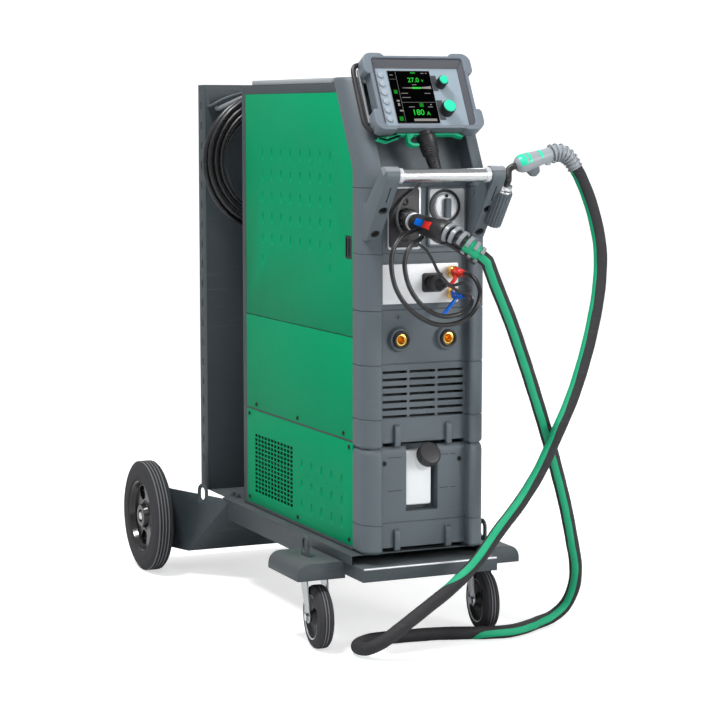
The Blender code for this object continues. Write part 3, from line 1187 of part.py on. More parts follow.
WATER_BLUE_ROUTE = [
    (-43.5, -66.5, 808.5), (-52, -70, 802), (-67, -76, 797), (-83, -80, 778), (-88, -83, 752),
    (-79, -87, 714), (-56, -94, 681), (-23, -102, 662), (12, -103, 663), (38, -97, 675), (52, -84, 686),
    (59, -62, 691), (61, -37, 692)]
PANEL_LEAD_ROUTE = [
    (-2, 6, 918), (-20, 10, 896), (-46, 8, 876), (-64, 2, 848), (-62, -6, 820),
    (-44, -16, 799), (-20, -26, 784), (-8, -36, 762), (-1, -50, 738), (12, -70, 716), (30, -84, 702),
    (43, -92, 704), (42, -94, 716), (30, -90, 721), (20, -76, 716), (19, -56, 714), (19, -38.6, 714)]


def run_out(points, ahead):
    """First points of a cord that leaves a fitting squarely at the end of `points`."""
    tip, before = Vector(points[-1]) * MM, Vector(points[-2]) * MM
    aim = (tip - before).normalized()
    return [tip + aim * 0.5 * MM, tip + aim * ahead]


def hoses():
    tilt = Matrix.Rotation(-BOX_LEAN, 3, "X")
    aim = Vector(BOX_GLAND_AIM).normalized()
    gland = [BOX_POINT.location + tilt @ (Vector(BOX_GLAND_ROOT) + aim * (BOX_GLAND + d * MM))
             for d in (0.5, 13)]
    plug_end = run_out(PLUG_BOOT, 20 * MM)
    torch_end = run_out(TORCH_BOOT, 18 * MM)[::-1]
    for name, before, route, after, diameter, spacing, resolution in (
            ("torch_hose", plug_end, TORCH_HOSE_ROUTE, torch_end, HOSE_D, 55 * MM, 2),
            ("water_hose_red", [], WATER_RED_ROUTE, [], WATER_D, 19 * MM, 1),
            ("water_hose_blue", [], WATER_BLUE_ROUTE, [], WATER_D, 18 * MM, 1),
            ("panel_lead", gland, PANEL_LEAD_ROUTE, [], PANEL_LEAD_D, 13 * MM, 1)):
        middle, _ = smooth_route(before[1:] + [Vector(p) * MM for p in route] + after[:-1], spacing)
        points = before[:1] + middle + after[-1:]
        tube_along(name, points, diameter, RUBBER, resolution)
        print(f"{name}: {route_length(points):.3f} m in {len(points)} points")


def coil_points():
    """Loops on the hook: in through one layer, half a turn across, out through the next."""
    per_turn, cross = 20, 0.5
    points = []
    for k in range(round((2 * COIL_TURNS_IN + cross + 0.25) * per_turn) + 1):
        t = k / per_turn
        share = min(1.0, max(0.0, (t - COIL_TURNS_IN) / cross))
        inward = min(t, COIL_TURNS_IN) - max(0.0, t - COIL_TURNS_IN - cross)
        radius = COIL_OUTER - COIL_STEP * inward - COIL_DIP * math.sin(math.pi * share)
        a = 2 * math.pi * t
        layer = COIL_LAYER * (-0.5 * math.cos(math.pi * share))
        points.append(Vector((COIL_X + radius * math.cos(a), COIL_Y + layer,
                              COIL_Z + radius * math.sin(a))))
    return points


def least_gap(points, diameter, skip):
    """Smallest clear distance of a tube to itself, leaving out its near neighbours."""
    least = 1.0
    for i, a in enumerate(points):
        for b in points[i + skip:]:
            least = min(least, (a - b).length)
    return least - diameter


MAINS_RISE = [(60, 690, 600), (64, 716, 606), (82, 736, 632), (108, 744, 690), (126, 745.5, 770),
              (132, 745.5, 850)]
MAINS_TAIL = [(24, 760, 776), (58, 764, 752), (70, 768, 716), (70, 770, 690)]


def mains():
    """One lead: gland, rise, loops on the hook and a tail down to its plug."""
    start = Vector((GLAND_X, BODY_REAR + GLAND_REACH + 0.3 * MM, GLAND_Z))
    coil = coil_points()
    rise, _ = smooth_route([Vector(p) * MM for p in MAINS_RISE]
                           + [coil[0] - Vector((0, 0, 30 * MM)), coil[0]], 30 * MM)
    tail, _ = smooth_route([coil[-1]] + [Vector(p) * MM for p in MAINS_TAIL], 16 * MM)
    whole = [start] + rise + coil[1:] + tail[1:]
    print(f"mains_lead: {route_length(whole):.3f} m in {len(whole)} points, "
          f"least gap of the loops {least_gap(coil, MAINS_D, 10) / MM:.2f} mm")
    tube_along("mains_lead", whole, MAINS_D, RUBBER, 1)
    plug = [(0, 0), (MAINS_D / 2 + 2 * MM, 0), (14 * MM, 26 * MM), (23 * MM, 30 * MM), (25 * MM, 74 * MM),
            (27 * MM, 76 * MM), (27 * MM, 98 * MM), (0, 98 * MM)]
    ahead = (whole[-1] - whole[-2]).normalized()
    piece("mains_plug", turned(plug, 16, whole[-1] + ahead * 0.3 * MM, ahead), BLUE)


def build():
    cart_platform()
    front_crossmember()
    bottle_tray()
    bottle_column()
    for side in (-1, 1):
        rear_wheel(side)
        caster(side)
    cooler_body()
    cooler_front()
    coolant_tank()
    main_case()
    wire_door()
    front_lower()
    front_upper()
    main_switch()
    handle()
    torch()
    torch_plug()
    multi_pin_plug()
    coupling("red", COUPLING_RED_Z, RED, (20 * MM, 26 * MM))
    coupling("blue", COUPLING_BLUE_Z, BLUE, (32 * MM, 36 * MM))
    control_box()
    wire_feeder()
    wire_spool()
    hoses()
    mains()


build()
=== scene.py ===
"""Looks of a wire-feed welder with its cooler, on a wheeled cart.

Shapes are drawn in millimetres in the maker's frame: X across, Y = 0 at the front of the corner
columns, Z up from the floor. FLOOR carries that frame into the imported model's metres. PANEL does
the same for the control box, whose Y runs into its face and whose Z runs up its slope.
"""
import math

import bmesh
import bpy
from bpy.props import FloatProperty, FloatVectorProperty, IntProperty, PointerProperty
from mathutils import Matrix, Vector


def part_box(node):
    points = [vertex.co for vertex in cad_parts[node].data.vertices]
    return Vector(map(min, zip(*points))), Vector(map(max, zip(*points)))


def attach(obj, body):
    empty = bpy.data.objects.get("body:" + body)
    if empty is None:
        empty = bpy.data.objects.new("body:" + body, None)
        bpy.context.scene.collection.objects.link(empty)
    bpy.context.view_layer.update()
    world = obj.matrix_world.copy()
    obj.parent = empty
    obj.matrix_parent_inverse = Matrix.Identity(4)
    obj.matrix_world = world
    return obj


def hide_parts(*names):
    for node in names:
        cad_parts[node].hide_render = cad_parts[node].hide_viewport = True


bl_info = {
    "name": "Welder on a cart",
    "version": (1, 0, 0),
    "blender": (4, 5, 0),
    "location": "3D View > Sidebar > Welder",
    "description": "Dresses the packed welder, its cooler, cart, torch and leads",
    "category": "Object",
}

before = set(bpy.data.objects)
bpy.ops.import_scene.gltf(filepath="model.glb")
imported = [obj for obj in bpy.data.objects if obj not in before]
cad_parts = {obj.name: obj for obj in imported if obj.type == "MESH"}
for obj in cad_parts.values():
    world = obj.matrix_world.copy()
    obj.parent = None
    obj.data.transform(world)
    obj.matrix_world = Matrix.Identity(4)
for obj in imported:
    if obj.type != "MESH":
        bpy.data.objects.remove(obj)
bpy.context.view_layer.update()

MM = 0.001
MIDDLE_Y = 484.0
SLOPE = 0.527
SLOPE_Z = 932.0
BOX_LEAN = math.atan(SLOPE)
FLOOR = Matrix.Translation((0, -MIDDLE_Y * MM, 0)) @ Matrix.Scale(MM, 4)
PANEL = (Matrix.Translation((0, (22 - MIDDLE_Y) * MM, 1078 * MM))
         @ Matrix.Rotation(-BOX_LEAN, 4, "X") @ Matrix.Scale(MM, 4))
CAMERA_PLACE = (-1801.6, -3686.9, 1033.63)
CAMERA_TURN = math.radians(24.24)
CAMERA_DIP = math.radians(6.484)
CAMERA_LENS, CAMERA_SENSOR = 107.763, 36.0
FORWARD = (0, -1, 0)
SIDES = ((-1, "left"), (1, "right"))
PAPER_GLOW = 0.62            # seen by the camera only
ROOM_LIGHT = 0.4
LIGHT_AIM = Vector((0, -0.1, 0.6))
LIGHTS = (  # name, place in metres, side of the square panel, watts
    ("high_panel", (-1.7, -0.7, 4.4), 0.9, 165.0), ("key_panel", (-1.0, -3.4, 3.3), 1.0, 28.0),
    ("front_panel", (2.3, -3.8, 1.7), 1.6, 88.0), ("side_panel", (-4.2, 0.6, 2.2), 2.4, 5.0),
    ("rim_panel", (2.6, 2.8, 3.0), 2.2, 35.0))


# ---------------------------------------------------------------- sizes and colours
class WelderSizes(bpy.types.PropertyGroup):
    hose_diameter: FloatProperty(
        name="Torch hose", description="Diameter of the sleeved torch hose",
        default=0.026, min=0.01, max=0.05, unit="LENGTH")
    water_diameter: FloatProperty(
        name="Coolant hoses", description="Diameter of the two coolant hoses",
        default=0.009, min=0.004, max=0.02, unit="LENGTH")
    lead_diameter: FloatProperty(
        name="Panel lead", description="Diameter of the control box's lead",
        default=0.006, min=0.003, max=0.012, unit="LENGTH")
    mains_diameter: FloatProperty(
        name="Mains lead", description="Diameter of the mains lead",
        default=0.012, min=0.006, max=0.02, unit="LENGTH")
    edge_round: FloatProperty(
        name="Edges", description="Rounding of the sheet metal's edges",
        default=0.001, min=0.0002, max=0.003, unit="LENGTH")
    dimple_depth: FloatProperty(
        name="Dimples", description="Depth of the pressed dimples in the green panels",
        default=0.0023, min=0.0005, max=0.0025, unit="LENGTH")
    grille_columns: IntProperty(
        name="Grille columns", description="Air holes along the cooler's side", default=12, min=4, max=24)
    grille_rows: IntProperty(
        name="Grille rows", description="Air holes up the cooler's side", default=14, min=4, max=24)


class WelderColours(bpy.types.PropertyGroup):
    green_paint: FloatVectorProperty(
        name="Green paint", description="Side panels and door", subtype="COLOR",
        default=(0.0, 0.275, 0.116), min=0.0, max=1.0)
    dark_sheet: FloatVectorProperty(
        name="Dark sheet", description="Cart, column and housing frame", subtype="COLOR",
        default=(0.042, 0.056, 0.064), min=0.0, max=1.0)
    grey_moulding: FloatVectorProperty(
        name="Grey moulding", description="Plastic fronts, arms and control box", subtype="COLOR",
        default=(0.090, 0.115, 0.132), min=0.0, max=1.0)
    sleeve_green: FloatVectorProperty(
        name="Sleeve stripe", description="Green side of the hose's sleeve", subtype="COLOR",
        default=(0.0, 0.40, 0.19), min=0.0, max=1.0)
    mint: FloatVectorProperty(
        name="Mint caps", description="Knob caps and torch inlays", subtype="COLOR",
        default=(0.02, 0.62, 0.38), min=0.0, max=1.0)
    display_green: FloatVectorProperty(
        name="Display", description="Figures on the screen", subtype="COLOR",
        default=(0.03, 0.75, 0.06), min=0.0, max=1.0)


def sizes():
    return bpy.context.scene.welder_sizes


def colours():
    return bpy.context.scene.welder_colours


# ---------------------------------------------------------------- node helpers
def shell_tree(name, kind, inputs, outputs):
    """An empty node group with named sockets, and its two end nodes."""
    tree = bpy.data.node_groups.new(name, kind)
    for label, socket_type, default in inputs:
        socket = tree.interface.new_socket(label, in_out="INPUT", socket_type="NodeSocket" + socket_type)
        if default is not None:
            socket.default_value = default
    for label, socket_type in outputs:
        tree.interface.new_socket(label, in_out="OUTPUT", socket_type="NodeSocket" + socket_type)
    return tree, tree.nodes.new("NodeGroupInput"), tree.nodes.new("NodeGroupOutput")


def add(tree, kind, feeds=None, **settings):
    """A node with its settings made and its inputs linked or set."""
    made = tree.nodes.new(kind)
    for key, value in settings.items():
        setattr(made, key, value)
    for key, value in (feeds or {}).items():
        if isinstance(value, bpy.types.NodeSocket):
            tree.links.new(value, made.inputs[key])
        else:
            made.inputs[key].default_value = value
    return made


def maths(tree, operation, *values):
    feeds = dict(enumerate(values))
    return add(tree, "ShaderNodeMath", feeds, operation=operation).outputs[0]


def placed_group(tree, group, feeds):
    return add(tree, "ShaderNodeGroup", feeds, node_tree=group)


def shader_group(name, build):
    """A shader node group, built once."""
    return bpy.data.node_groups.get(name) or build(name)


# ---------------------------------------------------------------- shared surface effects
def uneven_tone(name):
    tree, start, end = shell_tree(
        name, "ShaderNodeTree",
        [("Vector", "Vector", None), ("Colour", "Color", (1, 1, 1, 1)), ("Amount", "Float", 0.1),
         ("Size", "Float", 10.0)], [("Colour", "Color")])
    noise = add(tree, "ShaderNodeTexNoise", {"Vector": start.outputs["Vector"],
                                             "Scale": start.outputs["Size"], "Detail": 4.0})
    swing = maths(tree, "SUBTRACT", noise.outputs["Fac"], 0.5)
    gain = maths(tree, "MULTIPLY_ADD", swing, start.outputs["Amount"], 1.0)
    shade = add(tree, "ShaderNodeHueSaturation", {"Color": start.outputs["Colour"], "Value": gain})
    tree.links.new(shade.outputs["Color"], end.inputs["Colour"])
    return tree


def workshop_wear(name):
    """Dust that settles on upward faces, and faint handling marks."""
    tree, start, end = shell_tree(
        name, "ShaderNodeTree",
        [("Vector", "Vector", None), ("Colour", "Color", (1, 1, 1, 1)), ("Roughness", "Float", 0.4),
         ("Dust Colour", "Color", (0.3, 0.29, 0.27, 1)), ("Dust", "Float", 0.1), ("Marks", "Float", 0.1)],
        [("Colour", "Color"), ("Roughness", "Float")])
    facing = add(tree, "ShaderNodeNewGeometry")
    up = add(tree, "ShaderNodeSeparateXYZ", {"Vector": facing.outputs["Normal"]})
    lying = maths(tree, "MAXIMUM", up.outputs["Z"], 0.0)
    cloud = add(tree, "ShaderNodeTexNoise", {"Vector": start.outputs["Vector"], "Scale": 14.0, "Detail": 6.0})
    film = maths(tree, "MULTIPLY", maths(tree, "MULTIPLY", lying, cloud.outputs["Fac"]), start.outputs["Dust"])
    dusty = add(tree, "ShaderNodeMix", {0: film, 6: start.outputs["Colour"], 7: start.outputs["Dust Colour"]},
                data_type="RGBA")
    streak = add(tree, "ShaderNodeMapping", {"Vector": start.outputs["Vector"], "Rotation": (0.3, 0.5, 0.4),
                                             "Scale": (9.0, 60.0, 160.0)})
    scratch = add(tree, "ShaderNodeTexNoise", {"Vector": streak.outputs[0], "Scale": 1.0, "Detail": 3.0})
    edge = add(tree, "ShaderNodeMapRange", {"Value": scratch.outputs["Fac"], "From Min": 0.62, "From Max": 0.75})
    marks = maths(tree, "MULTIPLY", edge.outputs[0], start.outputs["Marks"])
    marked = add(tree, "ShaderNodeMix", {0: marks, 6: dusty.outputs[2], 7: start.outputs["Dust Colour"]},
                 data_type="RGBA")
    sheen = maths(tree, "MULTIPLY_ADD", maths(tree, "SUBTRACT", cloud.outputs["Fac"], 0.5), 0.12,
                  start.outputs["Roughness"])
    dull = maths(tree, "ADD", maths(tree, "ADD", sheen, maths(tree, "MULTIPLY", film, 0.5)),
                 maths(tree, "MULTIPLY", marks, 0.3))
    tree.links.new(marked.outputs[2], end.inputs["Colour"])
    tree.links.new(dull, end.inputs["Roughness"])
    return tree


def moulded_grain(name):
    """The pebbled skin of a moulding or of powder coat."""
    tree, start, end = shell_tree(
        name, "ShaderNodeTree", [("Vector", "Vector", None), ("Size", "Float", 500.0)], [("Height", "Float")])
    fine = add(tree, "ShaderNodeTexNoise", {"Vector": start.outputs["Vector"],
                                            "Scale": start.outputs["Size"], "Detail": 2.0})
    cells = add(tree, "ShaderNodeTexVoronoi", {"Vector": start.outputs["Vector"],
                                               "Scale": start.outputs["Size"]}, feature="SMOOTH_F1")
    mix = maths(tree, "MULTIPLY_ADD", cells.outputs["Distance"], 0.5, fine.outputs["Fac"])
    tree.links.new(mix, end.inputs["Height"])
    return tree


def brushed_lines(name):
    """Fine lines along X, as left by a brush or a lathe."""
    tree, start, end = shell_tree(
        name, "ShaderNodeTree", [("Vector", "Vector", None), ("Size", "Float", 900.0)], [("Height", "Float")])
    stretch = add(tree, "ShaderNodeMapping", {"Vector": start.outputs["Vector"], "Scale": (0.01, 1.0, 1.0)})
    lines = add(tree, "ShaderNodeTexNoise", {"Vector": stretch.outputs[0],
                                             "Scale": start.outputs["Size"], "Detail": 3.0})
    tree.links.new(lines.outputs["Fac"], end.inputs["Height"])
    return tree


def sleeve_weave(name):
    """Crossing strands of a textile sleeve; U goes round the hose and V along it in metres."""
    tree, start, end = shell_tree(
        name, "ShaderNodeTree",
        [("Vector", "Vector", None), ("Round", "Float", 36.0), ("Along", "Float", 420.0)],
        [("Height", "Float")])
    uv = add(tree, "ShaderNodeSeparateXYZ", {"Vector": start.outputs["Vector"]})
    u = maths(tree, "MULTIPLY", maths(tree, "MULTIPLY", uv.outputs["X"], start.outputs["Round"]), 2 * math.pi)
    v = maths(tree, "MULTIPLY", maths(tree, "MULTIPLY", uv.outputs["Y"], start.outputs["Along"]), 2 * math.pi)
    one = maths(tree, "SINE", maths(tree, "ADD", u, v))
    two = maths(tree, "SINE", maths(tree, "SUBTRACT", u, v))
    tree.links.new(maths(tree, "MAXIMUM", one, two), end.inputs["Height"])
    return tree


def sleeve_stripe(name):
    """1 inside a stripe at the middle of U, 0 outside, with a slightly wavy border."""
    tree, start, end = shell_tree(
        name, "ShaderNodeTree", [("Vector", "Vector", None), ("Width", "Float", 0.4)], [("Mask", "Float")])
    uv = add(tree, "ShaderNodeSeparateXYZ", {"Vector": start.outputs["Vector"]})
    wave = add(tree, "ShaderNodeTexNoise", {"W": maths(tree, "MULTIPLY", uv.outputs["Y"], 18.0), "Scale": 1.0,
                                            "Detail": 1.0}, noise_dimensions="1D")
    drift = maths(tree, "MULTIPLY_ADD", maths(tree, "SUBTRACT", wave.outputs["Fac"], 0.5), 0.03, uv.outputs["X"])
    off = maths(tree, "ABSOLUTE", maths(tree, "SUBTRACT", drift, 0.5))
    half = maths(tree, "MULTIPLY", start.outputs["Width"], 0.5)
    edge = add(tree, "ShaderNodeMapRange", {"Value": maths(tree, "SUBTRACT", half, off), "From Min": -0.004,
                                            "From Max": 0.004})
    tree.links.new(edge.outputs[0], end.inputs["Mask"])
    return tree


# ---------------------------------------------------------------- finishes
def finish(name, colour, rough, metallic=0.0, tone=0.08, tone_size=7.0, grain=0.0, grain_size=500.0,
           dust=0.1, marks=0.1, coat=0.0, lines=0.0, glow=None, glow_strength=0.0, shine=0.5):
    """A material of one base colour with the effects that its surface shows."""
    mat = bpy.data.materials.new(name)
    mat.use_nodes = True
    tree = mat.node_tree
    shader = tree.nodes["Principled BSDF"]
    place = add(tree, "ShaderNodeTexCoord").outputs["Object"]
    toned = placed_group(tree, shader_group("uneven_tone", uneven_tone),
                         {"Vector": place, "Colour": (*colour, 1), "Amount": tone, "Size": tone_size})
    worn = placed_group(tree, shader_group("workshop_wear", workshop_wear),
                        {"Vector": place, "Colour": toned.outputs["Colour"], "Roughness": rough,
                         "Dust": dust, "Marks": marks})
    tree.links.new(worn.outputs["Colour"], shader.inputs["Base Color"])
    tree.links.new(worn.outputs["Roughness"], shader.inputs["Roughness"])
    shader.inputs["Metallic"].default_value = metallic
    shader.inputs["Specular IOR Level"].default_value = shine
    shader.inputs["Coat Weight"].default_value = coat
    shader.inputs["Coat Roughness"].default_value = 0.15
    if grain or lines:
        group = ("moulded_grain", moulded_grain) if grain else ("brushed_lines", brushed_lines)
        height = placed_group(tree, shader_group(*group), {"Vector": place, "Size": grain_size})
        bump = add(tree, "ShaderNodeBump", {"Height": height.outputs["Height"], "Strength": grain or lines,
                                            "Distance": 0.0004})
        tree.links.new(bump.outputs["Normal"], shader.inputs["Normal"])
    if glow:
        shader.inputs["Emission Color"].default_value = (*glow, 1)
        shader.inputs["Emission Strength"].default_value = glow_strength
    return mat


def striped_sleeve(name, black, green, width):
    """Textile sleeve with a coloured stripe that follows the hose."""
    mat = finish(name, black, 0.7, tone=0.3, tone_size=25.0, dust=0.08, marks=0.05)
    tree = mat.node_tree
    shader = tree.nodes["Principled BSDF"]
    uv = add(tree, "ShaderNodeUVMap", uv_map="round_and_along").outputs["UV"]
    mask = placed_group(tree, shader_group("sleeve_stripe", sleeve_stripe), {"Vector": uv, "Width": width})
    base = shader.inputs["Base Color"].links[0].from_socket
    place = add(tree, "ShaderNodeTexCoord").outputs["Object"]
    bright = placed_group(tree, shader_group("uneven_tone", uneven_tone),
                          {"Vector": place, "Colour": (*green, 1), "Amount": 0.15, "Size": 30.0})
    mix = add(tree, "ShaderNodeMix", {0: mask.outputs["Mask"], 6: base, 7: bright.outputs["Colour"]},
              data_type="RGBA")
    tree.links.new(mix.outputs[2], shader.inputs["Base Color"])
    rough = shader.inputs["Roughness"].links[0].from_socket
    shine = maths(tree, "MULTIPLY_ADD", mask.outputs["Mask"], -0.25, rough)
    tree.links.new(shine, shader.inputs["Roughness"])
    weave = placed_group(tree, shader_group("sleeve_weave", sleeve_weave), {"Vector": uv})
    bump = add(tree, "ShaderNodeBump", {"Height": weave.outputs["Height"], "Strength": 0.35,
                                        "Distance": 0.0005})
    tree.links.new(bump.outputs["Normal"], shader.inputs["Normal"])
    return mat


def coat_of(name):
    """The named finish, made when it is first used."""
    made = bpy.data.materials.get(name)
    if made:
        return made
    tint = colours()
    green, dark, grey = tuple(tint.green_paint), tuple(tint.dark_sheet), tuple(tint.grey_moulding)
    metal = (0.62, 0.64, 0.66)
    specs = {
        "green_panel_paint": lambda n: finish(n, green, 0.5, tone=0.08, tone_size=3.0, grain=0.08,
                                              grain_size=700.0, dust=0.02, marks=0.01, shine=0.06),
        "dark_powder_coat": lambda n: finish(n, dark, 0.48, tone=0.14, tone_size=5.0, grain=0.22,
                                             grain_size=900.0, dust=0.22, marks=0.10),
        "light_powder_coat": lambda n: finish(n, (0.34, 0.37, 0.39), 0.42, tone=0.08, grain=0.18,
                                              grain_size=900.0, dust=0.15),
        "grey_moulded_plastic": lambda n: finish(n, grey, 0.5, tone=0.08, tone_size=6.0, grain=0.30,
                                                 grain_size=750.0, dust=0.16, marks=0.06),
        "light_moulded_plastic": lambda n: finish(n, (0.30, 0.33, 0.36), 0.4, tone=0.08, grain=0.2,
                                                  grain_size=750.0, dust=0.1),
        "black_moulded_plastic": lambda n: finish(n, (0.014, 0.014, 0.017), 0.42, grain=0.2, dust=0.08),
        "panel_face_grey": lambda n: finish(n, (0.27, 0.335, 0.39), 0.45, grain=0.12, dust=0.04, marks=0.02),
        "bumper_grey": lambda n: finish(n, (0.15, 0.18, 0.215), 0.36, tone=0.06, grain=0.2, grain_size=750.0,
                                        dust=0.05, marks=0.04),
        "silver_grey_plastic": lambda n: finish(n, (0.22, 0.24, 0.26), 0.3, tone=0.06, dust=0.03, marks=0.03),
        "brushed_aluminium": lambda n: finish(n, (0.64, 0.65, 0.67), 0.26, metallic=1.0, lines=0.25,
                                              dust=0.03, tone_size=20.0),
        "zinc_plating": lambda n: finish(n, metal, 0.3, metallic=1.0, tone=0.25, tone_size=30.0, dust=0.1),
        "polished_chrome": lambda n: finish(n, (0.85, 0.86, 0.88), 0.1, metallic=1.0, tone=0.05, dust=0.02),
        "silver_plate": lambda n: finish(n, (0.62, 0.64, 0.67), 0.35, metallic=0.35, lines=0.1,
                                         tone=0.08, dust=0.02),
        "brass_bore": lambda n: finish(n, (0.90, 0.55, 0.13), 0.25, metallic=1.0, dust=0.02),
        "tyre_rubber": lambda n: finish(n, (0.022, 0.023, 0.026), 0.5, tone=0.25, tone_size=18.0,
                                        grain=0.2, grain_size=600.0, dust=0.12, marks=0.1),
        # lighter grey rubber for bands on the tread's ridges
        "tread_wear": lambda n: finish(n, (0.14, 0.145, 0.155), 0.6, tone=0.2, dust=0.1),
        "glossy_hub": lambda n: finish(n, (0.006, 0.006, 0.007), 0.18, tone=0.05, dust=0.06, marks=0.05, coat=0.4),
        "cable_jacket": lambda n: finish(n, (0.012, 0.012, 0.014), 0.28, tone=0.25, tone_size=35.0,
                                         dust=0.06, marks=0.05),
        "grey_cable_jacket": lambda n: finish(n, (0.04, 0.042, 0.045), 0.4, tone=0.1, dust=0.06),
        "white_tank_plastic": lambda n: finish(n, (0.80, 0.83, 0.85), 0.32, tone=0.05, dust=0.03, marks=0.02),
        "white_plate": lambda n: finish(n, (0.78, 0.80, 0.82), 0.35, metallic=0.1, tone=0.04, dust=0.02),
        "white_buttons": lambda n: finish(n, (0.33, 0.37, 0.42), 0.25, tone=0.05, dust=0.02),
        "mint_plastic": lambda n: finish(n, tuple(tint.mint), 0.35, tone=0.06, dust=0.02),
        "hanger_green": lambda n: finish(n, (0.0, 0.42, 0.2), 0.4, tone=0.06, dust=0.04),
        "red_plastic": lambda n: finish(n, (0.72, 0.02, 0.015), 0.35, tone=0.08, dust=0.03),
        "blue_plastic": lambda n: finish(n, (0.0, 0.12, 0.60), 0.35, tone=0.08, dust=0.03),
        "copper_coated_wire": lambda n: finish(n, (0.75, 0.36, 0.17), 0.28, metallic=1.0, tone=0.2,
                                               tone_size=60.0, dust=0.04),
        "spool_plastic": lambda n: finish(n, (0.03, 0.03, 0.034), 0.45, grain=0.2, dust=0.1),
        "screen_glass": lambda n: finish(n, (0.0005, 0.0005, 0.0007), 0.4, dust=0.0, marks=0.0, shine=0.01),
        "lit_figures": lambda n: finish(n, (0.0, 0.02, 0.0), 0.6, dust=0, marks=0, shine=0.05,
                                        glow=tuple(tint.display_green), glow_strength=1.0),
        "dim_figures": lambda n: finish(n, (0.0, 0.02, 0.0), 0.6, dust=0, marks=0, shine=0.05,
                                        glow=tuple(tint.display_green), glow_strength=0.28),
        "key_field_grey": lambda n: finish(n, (0.055, 0.06, 0.075), 0.45, dust=0.02),
        "lit_marks": lambda n: finish(n, (0.05, 0.05, 0.05), 0.6, dust=0, marks=0, shine=0.05,
                                      glow=(0.42, 0.40, 0.38), glow_strength=0.55),
        "radiator_black": lambda n: finish(n, (0.012, 0.013, 0.014), 0.5, dust=0.2),
        # near black: the real colour of screws, bolts, the plus mark, level ticks and switch dot, and painted shade
        # where it fills the vents, fan opening, louvres, latch and bolt wells
        "dark_recess": lambda n: finish(n, (0.008, 0.008, 0.009), 0.7, dust=0.0, marks=0.0),
        "striped_sleeve": lambda n: striped_sleeve(n, (0.018, 0.018, 0.021), tuple(tint.sleeve_green), 0.175),
    }
    return specs[name](name)


# ---------------------------------------------------------------- shapes in millimetres
def block(low, high, bm=None):
    bm = bm or bmesh.new()
    size = [h - l for l, h in zip(low, high)]
    middle = [(h + l) / 2 for l, h in zip(low, high)]
    bmesh.ops.create_cube(bm, size=1, matrix=Matrix.Translation(middle) @ Matrix.Diagonal((*size, 1)))
    return bm


def prism(outline, axis, low, high, bm=None):
    """A flat outline, in X, Y, Z order, drawn out along an axis."""
    bm = bm or bmesh.new()

    def place(a, b, c):
        return {"X": (c, a, b), "Y": (a, c, b), "Z": (a, b, c)}[axis]
    face = bm.faces.new([bm.verts.new(place(a, b, low)) for a, b in outline])
    grown = bmesh.ops.extrude_face_region(bm, geom=[face])
    verts = [g for g in grown["geom"] if isinstance(g, bmesh.types.BMVert)]
    bmesh.ops.translate(bm, verts=verts, vec=Vector(place(0, 0, high - low)))
    return bm


def turn_to(axis):
    """The turn that brings Z towards an axis."""
    return Vector((0, 0, 1)).rotation_difference(Vector(axis)).to_matrix().to_4x4()


def turned(profile, steps=48, centre=(0, 0, 0), axis=(0, 0, 1), closed=False, bm=None):
    """A lathe shape from (radius, height) pairs; a radius of 0 closes it."""
    bm = bm or bmesh.new()
    place = Matrix.Translation(centre) @ turn_to(axis)
    rings = []
    for radius, height in profile:
        count = 1 if radius == 0 else steps
        rings.append([bm.verts.new(place @ Vector((radius * math.cos(2 * math.pi * k / steps),
                                                   radius * math.sin(2 * math.pi * k / steps), height)))
                      for k in range(count)])
    pairs = list(zip(rings, rings[1:])) + ([(rings[-1], rings[0])] if closed else [])
    for lower, upper in pairs:
        for k in range(steps):
            n = (k + 1) % steps
            corners = [lower[k % len(lower)], lower[n % len(lower)], upper[n % len(upper)], upper[k % len(upper)]]
            unique = [v for i, v in enumerate(corners) if v not in corners[:i]]
            if len(unique) > 2:
                bm.faces.new(unique)
    return bm


def lofted(rings, bm=None):
    bm = bm or bmesh.new()
    rows = [[bm.verts.new(p) for p in ring] for ring in rings]
    for lower, upper in zip(rows, rows[1:]):
        for k in range(len(lower)):
            n = (k + 1) % len(lower)
            bm.faces.new((lower[k], lower[n], upper[n], upper[k]))
    bm.faces.new(rows[0])
    bm.faces.new(rows[-1])
    return bm


def vectors(points):
    return [Vector(p) for p in points]


def swept(points, radii, sides, bm=None):
    """A round body through points with a radius at each."""
    pts = vectors(points)
    radii = radii if hasattr(radii, "__len__") else [radii] * len(pts)
    rings, normal = [], None
    for k, point in enumerate(pts):
        ahead = (pts[min(k + 1, len(pts) - 1)] - pts[max(k - 1, 0)]).normalized()
        if normal is None:
            seed = Vector((0, 0, 1)) if abs(ahead.z) < 0.9 else Vector((1, 0, 0))
            normal = ahead.cross(seed).normalized()
        normal = (normal - ahead * normal.dot(ahead)).normalized()
        other = ahead.cross(normal)
        rings.append([point + (normal * math.cos(2 * math.pi * s / sides)
                               + other * math.sin(2 * math.pi * s / sides)) * radii[k] for s in range(sides)])
    return lofted(rings, bm)


def arc(centre, radius, start, end, count):
    return [(centre[0] + radius * math.cos(math.radians(start + (end - start) * k / count)),
             centre[1] + radius * math.sin(math.radians(start + (end - start) * k / count)))
            for k in range(count + 1)]


def rounded_outline(low, high, radius, count=5):
    """A rectangle with round corners, as pairs."""
    points = []
    for x, y, start in ((high[0], low[1], 270), (high[0], high[1], 0), (low[0], high[1], 90), (low[0], low[1], 180)):
        centre = (x - math.copysign(radius, x - (low[0] + high[0]) / 2),
                  y - math.copysign(radius, y - (low[1] + high[1]) / 2))
        points += arc(centre, radius, start, start + 90, count)
    return points


